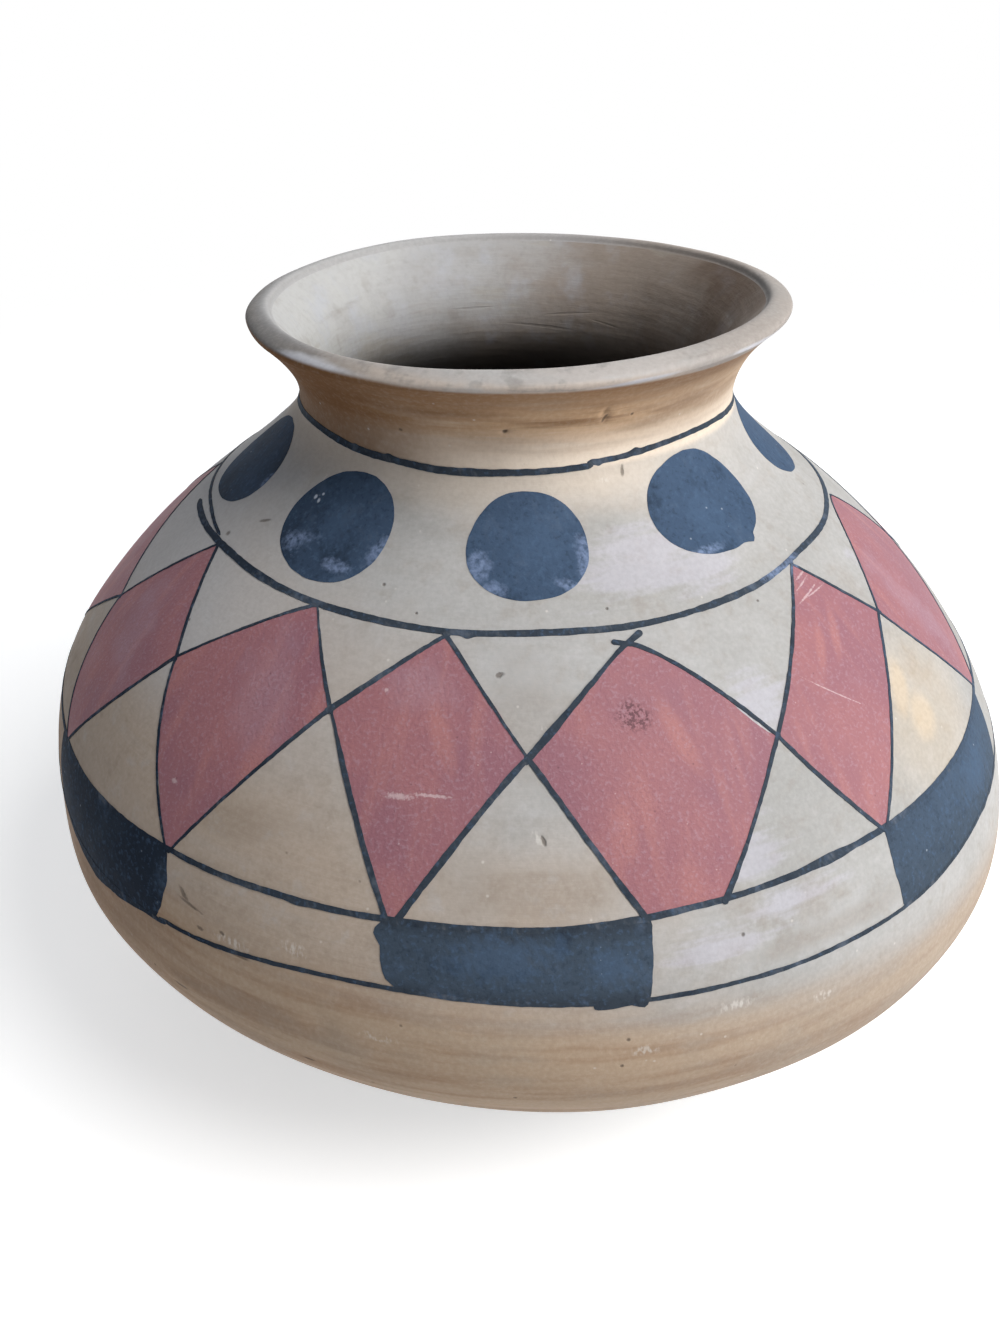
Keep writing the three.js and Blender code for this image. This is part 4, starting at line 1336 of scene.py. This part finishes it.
# The black fields of the band. Three are drawn as seen, and the rest run from foot to foot.
blocks = {
    1: [
        (-12.4, 97.0), (-13.3, 94.4), (-12.4, 92.4), (-12.5, 89.6), (-12.0, 86.0), (-10.4, 84.3),
        (-4.8, 84.6), (4.2, 84.1), (7.0, 83.4), (6.6, 82.2), (9.0, 82.3), (10.2, 82.9), (11.5, 81.5),
        (12.4, 86.7), (12.9, 94), (13.1, 97.9),
    ],
    2: [
        (41.4, 99.6), (41.0, 92), (41.0, 82.6), (45.4, 83.3), (53, 83.7), (61.5, 83.4), (70.2, 83),
        (71.8, 88), (73.8, 98.6),
    ],
    6: [
        (-66.5, 92.8), (-66.0, 84), (-63.5, 76.5), (-57, 75), (-51.1, 73.4), (-45.1, 75.6),
        (-38.6, 78.6), (-37.8, 82.5), (-37.1, 89.1), (-37.9, 94.9),
    ],
}
guessedBlocks = {3: (107.4, 140.6), 4: (171.4, 205.2), 5: (237, 269.4)}
blocksMiddle = 90


# A closed painted outline through some corners, rounded and a little uneven
def softLoop(corners, aroundRadius, seed):
    spots = np.array([flatSpot(turn, height, aroundRadius) for turn, height in corners])
    loop = []
    for start, end in zip(spots, np.roll(spots, -1, axis=0)):
        count = max(1, int(np.hypot(*(end - start)) / paintCoat["step"]))
        loop.append(start + np.linspace(0, 1, count, endpoint=False)[:, None] * (end - start))
    loop = np.vstack(loop)
    eased = (np.roll(loop, 1, axis=0) + 2 * loop + np.roll(loop, -1, axis=0)) / 4
    ahead = np.roll(eased, -1, axis=0) - np.roll(eased, 1, axis=0)
    ahead /= np.maximum(np.hypot(*ahead.T), 1e-6)[:, None]
    outward = np.stack([ahead[:, 1], -ahead[:, 0]], -1)
    return eased + outward * (0.3 * waver(eased, 4, seed) + 0.12 * waver(eased, 1.3, seed))[:, None]


def buildBlock(number):
    if number in guessedBlocks:
        left, right = guessedBlocks[number]
        turns = np.linspace(left, right, 6)
        low = [(turn, float(ringHeight("band_bottom_line", turn))) for turn in turns]
        high = [(turn, float(ringHeight("band_top_line", turn))) for turn in turns[::-1]]
        corners = low + high
    else:
        corners = blocks[number]
    aroundRadius = float(radiusAt(lengthAt(blocksMiddle)))
    loop = softLoop(corners, aroundRadius, paintCoat["seeds"]["block"] + number)
    layPatch(f"band_block_{number}", [loop], aroundRadius, paintCoat["blockLift"], blackPaint)


for number in range(1, 7):
    buildBlock(number)
print("band blocks painted")

# The camera stands where the photograph was taken from
cameraSpot = {
    "place": (0, -0.28928, 0.26456),
    "pan": -1.4765,
    "tilt": 32.2128,
    "roll": 0.1707,
    "lens": 32.41,
}


def placeCamera():
    pan, tilt, roll = (math.radians(cameraSpot[key]) for key in ("pan", "tilt", "roll"))
    ahead = Vector((math.sin(pan) * math.cos(tilt), math.cos(pan) * math.cos(tilt), -math.sin(tilt)))
    right = Vector((math.cos(pan), -math.sin(pan), 0))
    up = right.cross(ahead)
    rolledRight = math.cos(roll) * right + math.sin(roll) * up
    rolledUp = math.cos(roll) * up - math.sin(roll) * right
    lens = bpy.data.cameras.new("camera")
    lens.lens = cameraSpot["lens"]
    lens.sensor_width = 36
    lens.clip_start = 0.01
    lens.clip_end = 50
    camera = bpy.data.objects.new("camera", lens)
    turn = Matrix((rolledRight, rolledUp, -ahead)).transposed()
    camera.matrix_world = Matrix.Translation(cameraSpot["place"]) @ turn.to_4x4()
    bpy.context.scene.collection.objects.link(camera)
    bpy.context.scene.camera = camera


placeCamera()

# Soft studio light: a large key lamp up on the front right, weaker ones round it and a bluish sky
studio = {
    "sky": tint(222, 234, 252),
    "skyStrength": 0.13,
    "lamps": [
        {"place": (0.724, -0.418, 1.096), "size": 0.8, "power": 15, "colour": (1.0, 0.99, 0.97)},
        {"place": (1.252, -0.221, 0.37), "size": 0.8, "power": 6, "colour": (1.0, 0.98, 0.95)},
        {"place": (0.193, -0.72, 1.165), "size": 0.8, "power": 1.5, "colour": (1.0, 1.0, 1.0)},
        {"place": (-0.2, 1.55, 0.45), "size": 1.2, "power": 8, "colour": (0.94, 0.97, 1.0)},
    ],
    "aim": (0, 0, 0.1),
    "floorColour": tint(236, 236, 236),
    "floorGlow": 0.55,
    "floorSize": 14,
    "whiteFrom": 0.3,           # metres from the pot where the floor starts to fade to plain white
    "whiteBy": 0.8,
}


def addLamp(number, lamp):
    light = bpy.data.lights.new(f"lamp_{number}", "AREA")
    light.shape = "DISK"
    light.size = lamp["size"]
    light.energy = lamp["power"]
    light.color = lamp["colour"]
    holder = bpy.data.objects.new(f"lamp_{number}", light)
    holder.location = lamp["place"]
    toward = Vector(studio["aim"]) - Vector(lamp["place"])
    holder.rotation_euler = toward.to_track_quat("-Z", "Y").to_euler()
    bpy.context.scene.collection.objects.link(holder)


# The rays that see the white background: those of the camera, and those that gloss or glass sends on
def backgroundRays(make):
    names = ("Is Camera Ray", "Is Glossy Ray", "Is Transmission Ray")
    camera, glossy, through = [make.add("ShaderNodeLightPath", output=name) for name in names]
    return make.most(make.most(camera, glossy), through)


def buildSky():
    world = bpy.data.worlds.new("studio")
    bpy.context.scene.world = world
    make = Finish("studio", world)
    seen = make.add("ShaderNodeBackground", None, {"Color": (1, 1, 1)})
    sky = {"Color": studio["sky"], "Strength": studio["skyStrength"]}
    lit = make.add("ShaderNodeBackground", None, sky)
    both = make.add("ShaderNodeMixShader", None, {0: backgroundRays(make), 1: lit, 2: seen})
    make.add("ShaderNodeOutputWorld", None, {"Surface": both})


def buildFloor():
    half = studio["floorSize"]
    mesh = bpy.data.meshes.new("floor")
    corners = [(-half, -half, 0), (half, -half, 0), (half, half, 0), (-half, half, 0)]
    mesh.from_pydata(corners, [], [(0, 1, 2, 3)])
    floor = bpy.data.objects.new("floor", mesh)
    bpy.context.scene.collection.objects.link(floor)
    make = Finish("floor_white")
    plain = make.add("ShaderNodeBsdfDiffuse", None, {"Color": studio["floorColour"]})
    glow = make.add("ShaderNodeEmission", None, {"Color": (1, 1, 1), "Strength": studio["floorGlow"]})
    shaded = make.add("ShaderNodeAddShader", None, {0: plain, 1: glow})
    white = make.add("ShaderNodeEmission", None, {"Color": (1, 1, 1), "Strength": 1})
    away = make.length(make.add("ShaderNodeTexCoord", output="Object"))
    fade = make.ease(away, studio["whiteFrom"], studio["whiteBy"])
    seen = make.add("ShaderNodeMixShader", None, {0: fade, 1: shaded, 2: white})
    both = make.add("ShaderNodeMixShader", None, {0: backgroundRays(make), 1: plain, 2: seen})
    make.add("ShaderNodeOutputMaterial", None, {"Surface": both})
    mesh.materials.append(make.owner)


for number, lamp in enumerate(studio["lamps"], 1):
    addLamp(number, lamp)
buildSky()
buildFloor()
bpy.context.scene.view_settings.view_transform = "Standard"
print("camera, light and floor set")

bpy.context.view_layer.update()
